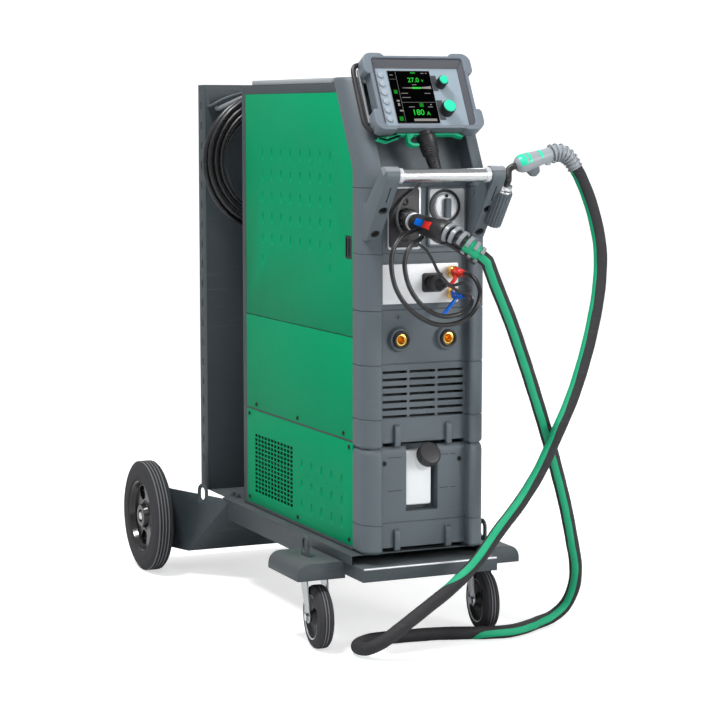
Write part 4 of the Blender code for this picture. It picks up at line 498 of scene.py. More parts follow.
def smooth_route(points, spacing):
    """Even points along a Catmull-Rom curve through `points`."""
    pts = vectors(points)
    pts = [pts[0] * 2 - pts[1]] + pts + [pts[-1] * 2 - pts[-2]]
    fine = []
    for p0, p1, p2, p3 in zip(pts, pts[1:], pts[2:], pts[3:]):
        for k in range(24):
            t = k / 24
            fine.append(0.5 * (2 * p1 + (p2 - p0) * t + (2 * p0 - 5 * p1 + 4 * p2 - p3) * t * t
                               + (3 * p1 - p0 - 3 * p2 + p3) * t ** 3))
    fine.append(pts[-2])
    lengths = [(b - a).length for a, b in zip(fine, fine[1:])]
    total = sum(lengths)
    count = max(4, round(total / spacing))
    even, walked, index = [], 0.0, 0
    for k in range(count + 1):
        target = min(total * k / count, total - 1e-6)
        while walked + lengths[index] < target:
            walked += lengths[index]
            index += 1
        even.append(fine[index].lerp(fine[index + 1], (target - walked) / lengths[index]))
    return even


def route_length(points):
    return sum((b - a).length for a, b in zip(points, points[1:]))


def moved(bm, matrix):
    bm.transform(matrix)
    return bm


# ---------------------------------------------------------------- turning shapes into pieces
def mesh_of(shape, name):
    """A mesh made of a shape, which is used up."""
    bmesh.ops.recalc_face_normals(shape, faces=shape.faces)
    mesh = bpy.data.meshes.new(name)
    shape.to_mesh(mesh)
    shape.free()
    return mesh


def loose_object(shape, name="work"):
    """A working object of a shape; it is removed again before the piece is done."""
    obj = bpy.data.objects.new(name, mesh_of(shape, name))
    bpy.context.scene.collection.objects.link(obj)
    return obj


def plain_mesh(obj, *helpers):
    """The evaluated shape of an object as a plain mesh; the objects are removed."""
    bpy.context.view_layer.update()
    mesh = bpy.data.meshes.new_from_object(obj.evaluated_get(bpy.context.evaluated_depsgraph_get()))
    for used in (obj, *helpers):
        bpy.data.objects.remove(used, do_unlink=True)
    return mesh


def shape_of(mesh):
    bm = bmesh.new()
    bm.from_mesh(mesh)
    bpy.data.meshes.remove(mesh)
    return bm


def joined(*shapes):
    """Several shapes as one, without fusing them."""
    bm = shapes[0]
    for other in shapes[1:]:
        mesh = bpy.data.meshes.new("part")
        other.to_mesh(mesh)
        other.free()
        bm.from_mesh(mesh)
        bpy.data.meshes.remove(mesh)
    return bm


def carved(base, *tools, how="DIFFERENCE"):
    """Shapes cut out of another, or fused on."""
    target = loose_object(base)
    helpers = []
    for tool in tools:
        helper = loose_object(tool, "tool")
        mod = target.modifiers.new("cut", "BOOLEAN")
        mod.operation = how
        mod.solver = "EXACT"
        mod.object = helper
        helpers.append(helper)
    return shape_of(plain_mesh(target, *helpers))


def rounded(shape, width, segments=2, angle=32):
    """A shape with its sharp edges rounded."""
    obj = loose_object(shape)
    mod = obj.modifiers.new("round", "BEVEL")
    mod.width = width
    mod.segments = segments
    mod.limit_method = "ANGLE"
    mod.angle_limit = math.radians(angle)
    return shape_of(plain_mesh(obj))


def merged_copy(node):
    """A CAD node's shape in the maker's millimetres, its loose triangles merged into faces."""
    bm = bmesh.new()
    bm.from_mesh(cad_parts[node].data)
    bmesh.ops.remove_doubles(bm, verts=bm.verts, dist=0.00002)
    bm.transform(FLOOR.inverted())
    bmesh.ops.dissolve_limit(bm, angle_limit=math.radians(1.0), verts=bm.verts, edges=bm.edges)
    return bm


def fit(name, shape, coat, body="cart", stands_for=None, place=FLOOR, smooth=28):
    """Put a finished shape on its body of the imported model."""
    mesh = mesh_of(shape, name)
    mesh.transform(place)
    mesh.materials.clear()
    mesh.materials.append(coat_of(coat))
    mesh.shade_smooth()
    mesh.set_sharp_from_angle(angle=math.radians(smooth))
    obj = bpy.data.objects.new(name, mesh)
    bpy.context.scene.collection.objects.link(obj)
    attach(obj, body)
    if stands_for:
        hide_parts(stands_for)
    return obj


# ---------------------------------------------------------------- geometry node trees
def rows_tree():
    """Copies of a shape in rows and columns."""
    tree, start, end = shell_tree(
        "copies_in_rows", "GeometryNodeTree",
        [("Geometry", "Geometry", None), ("Columns", "Int", 2), ("Rows", "Int", 2),
         ("Start", "Vector", None), ("Across", "Vector", None), ("Up", "Vector", None),
         ("Shape", "Object", None), ("Finish", "Material", None)], [("Geometry", "Geometry")])
    tree.is_modifier = True
    index = add(tree, "GeometryNodeInputIndex").outputs[0]
    column = maths(tree, "MODULO", index, start.outputs["Columns"])
    row = maths(tree, "FLOOR", maths(tree, "DIVIDE", index, start.outputs["Columns"]))
    across = add(tree, "ShaderNodeVectorMath", {0: start.outputs["Across"], "Scale": column}, operation="SCALE")
    up = add(tree, "ShaderNodeVectorMath", {0: start.outputs["Up"], "Scale": row}, operation="SCALE")
    both = add(tree, "ShaderNodeVectorMath", {0: across.outputs[0], 1: up.outputs[0]})
    spot = add(tree, "ShaderNodeVectorMath", {0: both.outputs[0], 1: start.outputs["Start"]})
    count = maths(tree, "MULTIPLY", start.outputs["Columns"], start.outputs["Rows"])
    points = add(tree, "GeometryNodePoints", {"Count": count, "Position": spot.outputs[0]})
    finish_copies(tree, start, end, points.outputs[0])
    return tree


def finish_copies(tree, start, end, points, feeds=None):
    """The shared tail of the trees: instances, real meshes, finish."""
    shape = add(tree, "GeometryNodeObjectInfo", {"Object": start.outputs["Shape"]})
    copies = add(tree, "GeometryNodeInstanceOnPoints",
                 {"Points": points, "Instance": shape.outputs["Geometry"], **(feeds or {})})
    real = add(tree, "GeometryNodeRealizeInstances", {"Geometry": copies.outputs[0]})
    coated = add(tree, "GeometryNodeSetMaterial", {"Geometry": real.outputs[0],
                                                   "Material": start.outputs["Finish"]})
    tree.links.new(coated.outputs[0], end.inputs["Geometry"])


def round_tree():
    """Copies of a shape turned round the Z axis."""
    tree, start, end = shell_tree(
        "copies_round_an_axis", "GeometryNodeTree",
        [("Geometry", "Geometry", None), ("Count", "Int", 6), ("First Angle", "Float", 0.0),
         ("Shape", "Object", None), ("Finish", "Material", None)], [("Geometry", "Geometry")])
    tree.is_modifier = True
    index = add(tree, "GeometryNodeInputIndex").outputs[0]
    step = maths(tree, "DIVIDE", 2 * math.pi, start.outputs["Count"])
    angle = maths(tree, "MULTIPLY_ADD", index, step, start.outputs["First Angle"])
    turn = add(tree, "ShaderNodeCombineXYZ", {"Z": angle})
    points = add(tree, "GeometryNodePoints", {"Count": start.outputs["Count"]})
    finish_copies(tree, start, end, points.outputs[0], {"Rotation": turn.outputs[0]})
    return tree


def path_tree():
    """Copies of a shape along a path, changing in size from one end to the other."""
    tree, start, end = shell_tree(
        "copies_along_a_path", "GeometryNodeTree",
        [("Geometry", "Geometry", None), ("Count", "Int", 6), ("First Size", "Float", 1.0),
         ("Last Size", "Float", 1.0), ("Shape", "Object", None), ("Finish", "Material", None)],
        [("Geometry", "Geometry")])
    tree.is_modifier = True
    line = add(tree, "GeometryNodeMeshToCurve", {"Mesh": start.outputs["Geometry"]})
    even = add(tree, "GeometryNodeResampleCurve", {"Curve": line.outputs[0], "Count": start.outputs["Count"]})
    along = add(tree, "GeometryNodeSplineParameter").outputs["Factor"]
    size = add(tree, "ShaderNodeMix", {0: along, 2: start.outputs["First Size"], 3: start.outputs["Last Size"]})
    tangent = add(tree, "GeometryNodeInputTangent")
    turn = add(tree, "FunctionNodeAlignRotationToVector", {"Vector": tangent.outputs[0]}, axis="Z")
    finish_copies(tree, start, end, even.outputs[0], {"Rotation": turn.outputs[0], "Scale": size.outputs[0]})
    return tree


def points_tree():
    """A copy of a shape at each point of a mesh."""
    tree, start, end = shell_tree(
        "copies_at_points", "GeometryNodeTree",
        [("Geometry", "Geometry", None), ("Shape", "Object", None), ("Finish", "Material", None)],
        [("Geometry", "Geometry")])
    tree.is_modifier = True
    finish_copies(tree, start, end, start.outputs["Geometry"])
    return tree


def lattice_tree():
    """A sheet pierced by a grid of air holes."""
    tree, start, end = shell_tree(
        "pierced_sheet", "GeometryNodeTree",
        [("Geometry", "Geometry", None), ("Length", "Float", 200.0), ("Height", "Float", 120.0),
         ("Columns", "Int", 12), ("Rows", "Int", 14), ("Open Share", "Float", 0.75),
         ("Finish", "Material", None)], [("Geometry", "Geometry")])
    tree.is_modifier = True
    columns = maths(tree, "ADD", start.outputs["Columns"], 1.0)
    rows = maths(tree, "ADD", start.outputs["Rows"], 1.0)
    grid = add(tree, "GeometryNodeMeshGrid", {"Size X": start.outputs["Length"], "Size Y": start.outputs["Height"],
                                              "Vertices X": columns, "Vertices Y": rows})
    inset = add(tree, "GeometryNodeExtrudeMesh", {"Mesh": grid.outputs[0], "Offset Scale": 0.0}, mode="FACES")
    shrunk = add(tree, "GeometryNodeScaleElements", {"Geometry": inset.outputs["Mesh"],
                                                     "Selection": inset.outputs["Top"],
                                                     "Scale": start.outputs["Open Share"]})
    open_sheet = add(tree, "GeometryNodeDeleteGeometry", {"Geometry": shrunk.outputs[0],
                                                          "Selection": inset.outputs["Top"]}, domain="FACE")
    real = add(tree, "GeometryNodeRealizeInstances", {"Geometry": open_sheet.outputs[0]})
    coated = add(tree, "GeometryNodeSetMaterial", {"Geometry": real.outputs[0],
                                                   "Material": start.outputs["Finish"]})
    tree.links.new(coated.outputs[0], end.inputs["Geometry"])
    return tree


TREES = {"rows": rows_tree, "round": round_tree, "path": path_tree, "points": points_tree,
         "lattice": lattice_tree}
built_trees = {}


def grown(kind, shape=None, base=None, **values):
    """Run a tree and return what it makes as a shape."""
    if kind not in built_trees:
        built_trees[kind] = TREES[kind]()
    tree = built_trees[kind]
    base_obj = loose_object(base if base is not None else bmesh.new(), "base")
    helper = loose_object(shape, "copied") if shape is not None else None
    given = {key.replace("_", " ").title(): value for key, value in values.items()}
    if helper:
        given["Shape"] = helper
    mod = base_obj.modifiers.new("copies", "NODES")
    mod.node_group = tree
    for item in tree.interface.items_tree:
        if item.item_type == "SOCKET" and item.in_out == "INPUT" and item.name in given:
            mod[item.identifier] = given[item.name]
    return shape_of(plain_mesh(base_obj, *([helper] if helper else [])))


def path_mesh(points):
    bm = bmesh.new()
    verts = [bm.verts.new(p) for p in points]
    for a, b in zip(verts, verts[1:]):
        bm.edges.new((a, b))
    return bm


def spots(points):
    bm = bmesh.new()
    for p in points:
        bm.verts.new(p)
    return bm


def ring_shape(radius, thick, steps=28, sides=8):
    """A round ring lying across Z."""
    return turned(arc((radius, 0), thick, 0, 360 - 360 / sides, sides - 1), steps, closed=True)


def socket_screw(radius, height, axis):
    """A cap screw with a six-sided socket, its head towards `axis`."""
    head = turned([(0, 0), (radius, 0), (radius, height * 0.8), (radius * 0.88, height), (0, height)], 20)
    key = prism(arc((0, 0), radius * 0.5, 0, 300, 5), "Z", height * 0.45, height * 1.5)
    return moved(carved(head, key), turn_to(axis))


# ---------------------------------------------------------------- stage
class PieceMaker:
    """What the operators below share: each makes its pieces when it is run."""
    bl_options = {"REGISTER", "UNDO"}

    def execute(self, context):
        self.make()
        return {"FINISHED"}


class WELDER_OT_stage(PieceMaker, bpy.types.Operator):
    """Make the floor, the lights and the camera"""
    bl_idname = "welder.stage"
    bl_label = "Stage"

    def pale_finish(self):
        """The studio paper: white to the eye, while it bounces less light onto the machine."""
        paper = finish("pale_stage", (0.72, 0.72, 0.72), 0.9, tone=0.01, dust=0.0, marks=0.0, shine=0.0,
                       glow=(1.0, 1.0, 1.0))
        tree = paper.node_tree
        seen = add(tree, "ShaderNodeLightPath").outputs["Is Camera Ray"]
        strength = tree.nodes["Principled BSDF"].inputs["Emission Strength"]
        tree.links.new(maths(tree, "MULTIPLY", seen, PAPER_GLOW), strength)
        return paper

    def make(self):
        scene = bpy.context.scene
        scene.view_settings.view_transform = "Standard"
        bowl = [(0, -0.5), (5200, -0.5)] + [(5200 + 1800 * math.sin(math.radians(a)),
                                              1799.5 - 1800 * math.cos(math.radians(a))) for a in range(10, 91, 10)]
        bowl += [(7000, 5200)]
        shape = turned(bowl, 96)
        mesh = bpy.data.meshes.new("studio_floor")
        shape.to_mesh(mesh)
        shape.free()
        mesh.transform(Matrix.Scale(MM, 4))
        mesh.flip_normals()
        mesh.shade_smooth()
        mesh.materials.append(self.pale_finish())
        floor = bpy.data.objects.new("studio_floor", mesh)
        scene.collection.objects.link(floor)

        world = bpy.data.worlds.new("studio_light")
        world.use_nodes = True
        background = world.node_tree.nodes["Background"]
        background.inputs["Color"].default_value = (1.0, 1.0, 1.0, 1)
        background.inputs["Strength"].default_value = ROOM_LIGHT
        scene.world = world
        for name, where, size, energy in LIGHTS:
            light = bpy.data.lights.new(name, "AREA")
            light.size = size
            light.energy = energy
            lamp = bpy.data.objects.new(name, light)
            lamp.location = where
            aim = LIGHT_AIM - Vector(where)
            lamp.rotation_euler = aim.to_track_quat("-Z", "Y").to_euler()
            scene.collection.objects.link(lamp)
        lens = bpy.data.cameras.new("studio_camera")
        lens.sensor_width = CAMERA_SENSOR
        lens.lens = CAMERA_LENS
        eye = bpy.data.objects.new("studio_camera", lens)
        eye.location = FLOOR @ Vector(CAMERA_PLACE)
        eye.rotation_euler = (math.pi / 2 - CAMERA_DIP, 0, -CAMERA_TURN)
        scene.collection.objects.link(eye)
        scene.camera = eye


# ---------------------------------------------------------------- cords
TORCH_HOSE_ROUTE = [
    (62, -164, 718), (97, -155, 650), (139, -132, 571), (182, -105, 489),
    (226, -74, 405), (259, -48, 341), (296, -18, 265), (329, 12, 188), (352, 36, 132), (362, 58, 84),
    (352, 74, 42), (322, 76, 19), (280, 62, 13.4), (238, 37, 13.4), (195, 22, 13.4), (150, 28, 13.4),
    (100, 46, 13.4), (50, 62, 13.4), (0, 68, 13.4), (-45, 72, 13.4), (-85, 70, 13.4), (-120, 50, 13.4),
    (-138, 16, 15), (-134, -20, 21), (-112, -44, 38), (-76, -55, 66), (-26, -66, 104), (19, -77, 140),
    (66, -88, 189), (106, -98, 245), (145, -106, 295), (185, -112, 356), (220, -115, 427), (254, -114, 496),
    (283, -110, 571), (304, -104, 637), (320, -97, 704), (326, -90, 772), (318, -84, 830), (304, -78, 880)]
WATER_RED_ROUTE = [
    (-47.5, -48, 820), (-58, -52, 817), (-83, -60, 809), (-103, -66, 786), (-109, -69, 756),
    (-101, -74, 712), (-76, -84, 673), (-34, -94, 647), (10, -98, 646), (46, -98, 664), (66, -90, 698),
    (66, -72, 724), (62, -54, 733), (61, -37, 734)]
WATER_BLUE_ROUTE = [
    (-43.5, -66.5, 808.5), (-52, -70, 802), (-67, -76, 797), (-83, -80, 778), (-88, -83, 752),
    (-79, -87, 714), (-56, -94, 681), (-23, -102, 662), (12, -103, 663), (38, -97, 675), (52, -84, 686),
    (59, -62, 691), (61, -37, 692)]
PANEL_LEAD_ROUTE = [
    (-2, 6, 918), (-20, 10, 896), (-46, 8, 876), (-64, 2, 848), (-62, -6, 820),
    (-44, -16, 799), (-20, -26, 784), (-8, -36, 762), (-1, -50, 738), (12, -70, 716), (30, -84, 702),
    (43, -92, 704), (42, -94, 716), (30, -90, 721), (20, -76, 716), (19, -56, 714), (19, -38.6, 714)]
MAINS_RISE = [(60, 690, 600), (64, 716, 606), (82, 736, 632), (108, 744, 690), (126, 745.5, 770),
              (132, 745.5, 850)]
MAINS_TAIL = [(24, 760, 776), (58, 764, 752), (70, 768, 716), (70, 770, 690)]
PLUG_BOOT = [(-15, -122, 815), (-9, -135, 810), (2, -148, 800), (16, -157, 788), (27, -161, 778)]
TORCH_BOOT = [(236, -68.2, 962), (248, -68.6, 962), (260, -69, 957), (271, -70, 947), (279, -71, 934)]
GLAND_ROOT, GLAND_AIM, GLAND_LONG = Vector((2, 22, -77)), Vector((0.15, 0.275, -0.95)).normalized(), 60
KEY_ACROSS, KEY_HEIGHTS = -78, [-7.6 + 18.7 * (2.5 - k) for k in range(6)]
TOWARDS_CAMERA = Vector((-math.sin(CAMERA_TURN), -math.cos(CAMERA_TURN), 0.11))
LEFT_OF_CAMERA = Vector((-math.cos(CAMERA_TURN), math.sin(CAMERA_TURN), 0.0))
STRIPE_FACES = [  # share of the hose's length, and which way the green stripe looks there
    (0.0, TOWARDS_CAMERA * 1.0 + LEFT_OF_CAMERA * 0.25), (0.22, TOWARDS_CAMERA + LEFT_OF_CAMERA * 0.15),
    (0.36, TOWARDS_CAMERA + LEFT_OF_CAMERA * 0.3), (0.42, TOWARDS_CAMERA * 0.6 - LEFT_OF_CAMERA * 0.8),
    (0.47, Vector((0.3, 0.9, -0.5))), (0.60, Vector((0.0, 0.8, -0.8))), (0.645, Vector((-0.8, 0.3, -0.3))),
    (0.67, TOWARDS_CAMERA * 0.9 + LEFT_OF_CAMERA * 0.4), (0.76, TOWARDS_CAMERA * 0.75 + LEFT_OF_CAMERA * 0.75),
    (0.88, TOWARDS_CAMERA * 0.45 + LEFT_OF_CAMERA * 1.0), (1.0, TOWARDS_CAMERA * 0.3 + LEFT_OF_CAMERA * 1.0)]


def run_out(points, ahead):
    """Two points past the end of a route, in line with its last stretch."""
    tip, before = Vector(points[-1]), Vector(points[-2])
    aim = (tip - before).normalized()
    return [tip + aim * 0.5, tip + aim * ahead]


def stripe_face(share):
    for (a, va), (b, vb) in zip(STRIPE_FACES, STRIPE_FACES[1:]):
        if share <= b:
            return va.lerp(vb, (share - a) / (b - a))
    return STRIPE_FACES[-1][1]


def cord_shape(points, radius, sides, face=None, ripple=0.0):
    """A tube with a UV map: U goes round it and V along it in metres, U = 0.5 towards `face`."""
    bm = bmesh.new()
    layer = bm.loops.layers.uv.new("round_and_along")
    total, walked = route_length(points), 0.0
    rings, marks, normal = [], [], None
    for k, point in enumerate(points):
        if k:
            walked += (point - points[k - 1]).length
        ahead = (points[min(k + 1, len(points) - 1)] - points[max(k - 1, 0)]).normalized()
        wish = face(walked / total) if face else (normal or Vector((0.3, -0.8, 0.6)))
        normal = (wish - ahead * wish.dot(ahead)).normalized()
        other = ahead.cross(normal)
        swell = 1.0 + ripple * (math.sin(walked * 0.11) + 0.6 * math.sin(walked * 0.37 + 1.3))
        rings.append([bm.verts.new(point - (normal * math.cos(2 * math.pi * s / sides)
                                            + other * math.sin(2 * math.pi * s / sides)) * radius * swell)
                      for s in range(sides)])
        marks.append(walked * MM)
    for k in range(len(rings) - 1):
        for s in range(sides):
            n = (s + 1) % sides
            quad = bm.faces.new((rings[k][s], rings[k][n], rings[k + 1][n], rings[k + 1][s]))
            around = ((s, marks[k]), (s + 1, marks[k]), (s + 1, marks[k + 1]), (s, marks[k + 1]))
            for loop, (u, v) in zip(quad.loops, around):
                loop[layer].uv = (u / sides, v)
    bm.faces.new(rings[0])
    bm.faces.new(rings[-1])
    return bm


def lay_cord(name, node, points, diameter, coat, sides, **facts):
    face, ripple = facts.pop("face", None), facts.pop("ripple", 0.0)
    shape = cord_shape(points, diameter / 2 / MM, sides, face, ripple)
    cord = fit(name, shape, coat, stands_for=node, smooth=60)
    return cord


def coil_points(per_turn=36):
    """Loops on the hook: in through one layer, half a turn across, out through the next."""
    points, turns_in, cross = [], 3, 0.5
    for k in range(round((2 * turns_in + cross + 0.25) * per_turn) + 1):
        t = k / per_turn
        share = min(1.0, max(0.0, (t - turns_in) / cross))
        inward = min(t, turns_in) - max(0.0, t - turns_in - cross)
        radius = 150 - 13 * inward - 3 * math.sin(math.pi * share)
        a = 2 * math.pi * t
        points.append(Vector((-20 + radius * math.cos(a), 752 - 6.5 * math.cos(math.pi * share),
                              933 + radius * math.sin(a))))
    return points


class WELDER_OT_cords(PieceMaker, bpy.types.Operator):
    """Make the torch hose, the coolant hoses, the panel lead and the mains lead with its plug"""
    bl_idname = "welder.cords"
    bl_label = "Hoses and leads"

    def make(self):
        size = sizes()
        plug_end, torch_end = run_out(PLUG_BOOT, 20), run_out(TORCH_BOOT, 18)[::-1]
        middle = smooth_route(plug_end[1:] + vectors(TORCH_HOSE_ROUTE) + torch_end[:-1], 9)
        lay_cord("torch_hose_sleeve", "torch_hose", plug_end[:1] + middle + torch_end[-1:],
                 size.hose_diameter, "striped_sleeve", 28, far_end="object", stiffness="stiff", lay="loose",
                 face=stripe_face, ripple=0.012)
        lay_cord("coolant_hose_red", "water_hose_red", smooth_route(WATER_RED_ROUTE, 5),
                 size.water_diameter, "cable_jacket", 14, far_end="object", stiffness="medium", lay="loose")
        lay_cord("coolant_hose_blue", "water_hose_blue", smooth_route(WATER_BLUE_ROUTE, 5),
                 size.water_diameter, "cable_jacket", 14, far_end="object", stiffness="medium", lay="loose")
        tilt = FLOOR.inverted() @ PANEL
        gland = [tilt @ (GLAND_ROOT + GLAND_AIM * (GLAND_LONG + d)) for d in (0.5, 13)]
        lay_cord("control_lead", "panel_lead", gland[:1] + smooth_route(gland[1:] + vectors(PANEL_LEAD_ROUTE), 5),
                 size.lead_diameter, "grey_cable_jacket", 12, far_end="object", stiffness="medium", lay="loose")

        start, coil = Vector((60, 674.3, 600)), coil_points()
        rise = smooth_route(vectors(MAINS_RISE) + [coil[0] - Vector((0, 0, 30)), coil[0]], 10)
        tail = smooth_route([coil[-1]] + vectors(MAINS_TAIL), 8)
        whole = [start] + rise + coil[1:] + tail[1:]
        ahead = (whole[-1] - whole[-2]).normalized()
        tip = whole[-1] + ahead * 0.3
        body = turned([(0, 0), (8, 0), (9, 6), (13, 24), (14, 26), (23, 30), (25, 34), (25, 74), (27, 76),
                       (27, 92), (25, 98), (21, 98), (21, 84), (0, 84)], 48, tip, ahead)
        grip = grown("round", shape=block((24, -1.2, 38), (26.2, 1.2, 70)), count=20)
        place = Matrix.Translation(tip) @ turn_to(ahead)
        plug = fit("mains_plug_body", joined(body, moved(grip, place)), "blue_plastic",
                   stands_for="mains_plug")
        pins = [(14, 30), (14, 120), (14, 210), (14, 300)]
        metal = bmesh.new()
        for radius, angle in pins:
            x, y = radius * math.cos(math.radians(angle)), radius * math.sin(math.radians(angle))
            turned([(0, 80), (2.6, 80), (2.6, 96), (1.6, 97.6), (0, 97.6)], 14, (x, y, 0), bm=metal)
        fit("mains_plug_pins", moved(metal, place), "brass_bore")
        lay_cord("mains_lead_jacket", "mains_lead", whole, size.mains_diameter, "cable_jacket", 14,
                 far_end="plug", stiffness="stiff", lay="coiled", with_pieces=[plug])


# ---------------------------------------------------------------- cart
class WELDER_OT_cart(PieceMaker, bpy.types.Operator):
    """Make the cart's sheet metal: platform, front crossmember and bottle tray"""
    bl_idname = "welder.cart"
    bl_label = "Cart"

    def make(self):
        edge = sizes().edge_round / MM
        for name, node, width in (("platform_sheet", "cart_platform", edge), ("tray_sheet", "bottle_tray", edge),
                                  ("crossmember_sheet", "front_crossmember", edge * 1.3)):
            fit(name, rounded(merged_copy(node), width), "dark_powder_coat", stands_for=node)
        # A silver rod along the top front edge of the crossmember: a painted highlight on that edge.
        highlight_strip = swept([(-142, -19.2, 174.2), (142, -19.2, 174.2)], 1.9, 12)
        fit("crossmember_bright_edge", highlight_strip, "silver_plate")
        bolt = joined(turned([(0, 0), (8.5, 0), (8.5, 1.6), (0, 1.6)], 24),
                      prism(arc((0, 0), 6.4, 0, 300, 5), "Z", 1.2, 6.5),
                      turned([(0, 6), (3.6, 6), (3.6, 9), (0, 9)], 14))
        nuts = grown("points", shape=bolt, base=spots([(-122, 700, 195), (-122, 726, 195), (122, 700, 195),
                                                       (122, 726, 195)]))
        fit("platform_bolts", nuts, "dark_powder_coat")
        for side, word in SIDES:
            turn = Matrix.Translation((side * 260, 940, 125)) @ Matrix.Rotation(side * math.pi / 2, 4, "Y")
            fit(f"axle_cap_{word}",
                moved(turned([(0, 0), (9.6, 0), (9.6, 7), (8, 9), (0, 9.4)], 32), turn), "polished_chrome")


class WELDER_OT_column(PieceMaker, bpy.types.Operator):
    """Make the bottle column with its slotted flanges and the cable hook"""
    bl_idname = "welder.column"
    bl_label = "Bottle column"

    def make(self):
        column = rounded(merged_copy("bottle_column"), sizes().edge_round / MM, angle=40)
        slot = prism(rounded_outline((-3, -9), (3, 9), 2.9, 4), "X", -170, 170)
        slots = grown("rows", shape=slot, columns=1, rows=19, start=(0, 852, 262), up=(0, 0, 44))
        fit("column_sheet", carved(column, slots), "dark_powder_coat", stands_for="bottle_column")
        hook = [(-118, 822, 1048), (-118, 812, 1048), (-96, 780, 1062), (-76, 752, 1075), (-62, 736, 1083)]
        fit("hook_rod", swept(hook, 5.2, 18), "silver_grey_plastic", smooth=50)


# ---------------------------------------------------------------- wheels
class WELDER_OT_wheels(PieceMaker, bpy.types.Operator):
    """Make the two rear wheels with their grooved tyres and dished hubs"""
    bl_idname = "welder.wheels"
    bl_label = "Rear wheels"

    def make(self):
        for side, word in SIDES:
            body = f"rear_wheel_{word}"
            turn = Matrix.Translation((side * 224, 940, 125)) @ Matrix.Rotation(side * math.pi / 2, 4, "Y")
            tyre = [(82, 3.5), (84, 2.2), (95, 1.4), (97, 2.2), (104, 2.0), (113, 3.2), (120, 6.5), (124, 10.5)]
            for k in range(4):
                start = 13.2 + 7.2 * k
                tyre += [(124.6, start - 0.9), (124.6, start), (122.2, start + 0.5), (122.2, start + 1.7),
                         (124.6, start + 2.2)]
            tyre += [(124.6, 38), (124, 40), (120, 43.6), (113, 46.6), (104, 47.6), (97, 47.2), (95, 47.9),
                     (84, 47.2), (82, 46)]
            fit(f"{body}_tyre", moved(turned(tyre, 112, closed=True), turn), "tyre_rubber", body,
                stands_for=body)
            disc = [(10.6, 6), (26, 6), (28, 15), (74, 13), (82.6, 6), (82.6, 43), (80, 44.5), (77, 42),
                    (73, 32), (34, 30), (29, 33), (26, 42.5), (24, 44), (16, 44), (14, 42), (14, 38), (10.6, 38)]
            pocket = prism([(38, -9), (44, -15), (62, -17), (68, -12), (70, 0), (68, 12), (62, 17), (44, 15),
                            (38, 9)], "Z", 22, 60)
            pockets = grown("round", shape=rounded(pocket, 3), count=5, first_angle=0.4)
            hub = carved(turned(disc, 90, closed=True), pockets)
            fit(f"{body}_hub", moved(hub, turn), "glossy_hub", body)
            ring = turned([(79.5, 43.6), (82.4, 42.6), (82.4, 44.8), (80.5, 45.4)], 90, closed=True)
            fit(f"{body}_bead", moved(ring, turn), "tyre_rubber", body)
            # Lighter grey bands on the tread's ridges.
            worn = bmesh.new()
            for k in range(4):
                low = 16.2 + 7.2 * k
                turned([(123, low), (125, low + 0.3), (125, low + 2.6), (123, low + 2.9)], 112, closed=True, bm=worn)
            fit(f"{body}_worn_tread", moved(worn, turn), "tread_wear", body)


class WELDER_OT_casters(PieceMaker, bpy.types.Operator):
    """Make the swivel casters: plated forks, tyres, cores and axle bolts"""
    bl_idname = "welder.casters"
    bl_label = "Casters"

    def make(self):
        rest = math.radians(6)
        for side, word in SIDES:
            fork, wheel = f"caster_fork_{word}", f"caster_wheel_{word}"
            fit(f"{fork}_plated", rounded(merged_copy(fork), 0.8), "zinc_plating", fork, stands_for=fork)
            hub = Vector((side * 180 - math.sin(rest) * 42, 143 - math.cos(rest) * 42, 62.5))
            turn = Matrix.Translation(hub) @ Matrix.Rotation(-rest, 4, "Z") @ Matrix.Rotation(math.pi / 2, 4, "Y")
            half = [(43, 15.2), (46, 16), (52, 16), (57, 14), (61, 10.5), (62.2, 7.2), (62.3, 6.6), (61, 6.2),
                    (61, 5.0), (62.3, 4.6), (62.3, 1.2), (61.2, 0.8)]
            tyre = half + [(r, -h) for r, h in reversed(half)]
            fit(f"{wheel}_tyre", moved(turned(tyre, 80, closed=True), turn), "tyre_rubber", wheel,
                stands_for=wheel)
            # Lighter grey bands on the tread's ridges.
            worn = bmesh.new()
            for low in (-3.9, 1.9):
                turned([(61.6, low), (62.5, low + 0.2), (62.5, low + 1.8), (61.6, low + 2)], 80, closed=True, bm=worn)
            fit(f"{wheel}_worn_tread", moved(worn, turn), "tread_wear", wheel)
            side_face = [(5.5, 17.6), (11, 17.6), (13, 12), (17, 8), (36, 8), (40, 11), (43.4, 14.6)]
            core = side_face + [(r, -h) for r, h in reversed(side_face)]
            fit(f"{wheel}_core", moved(turned(core, 64, closed=True), turn), "black_moulded_plastic", wheel)
            rims = turned([(41.6, 14.4), (43.6, 15.6), (44.2, 16.2), (42.2, 15.6)], 64, closed=True)
            turned([(41.6, -14.4), (43.6, -15.6), (44.2, -16.2), (42.2, -15.6)], 64, closed=True, bm=rims)
            fit(f"{wheel}_rim_line", moved(rims, turn), "silver_plate", wheel)
            heads = bmesh.new()
            for sign in (-1, 1):
                prism(arc((0, 0), 8.4, 0, 300, 5), "Z", *sorted((sign * 22.2, sign * 27.5)), bm=heads)
            fit(f"{fork}_axle_bolt", moved(heads, turn), "polished_chrome", fork)


# ---------------------------------------------------------------- housing
def side_screws(points, left=True):
    axis = (-1, 0, 0) if left else (1, 0, 0)
    return grown("points", shape=socket_screw(4.2, 2.2, axis), base=spots(points))


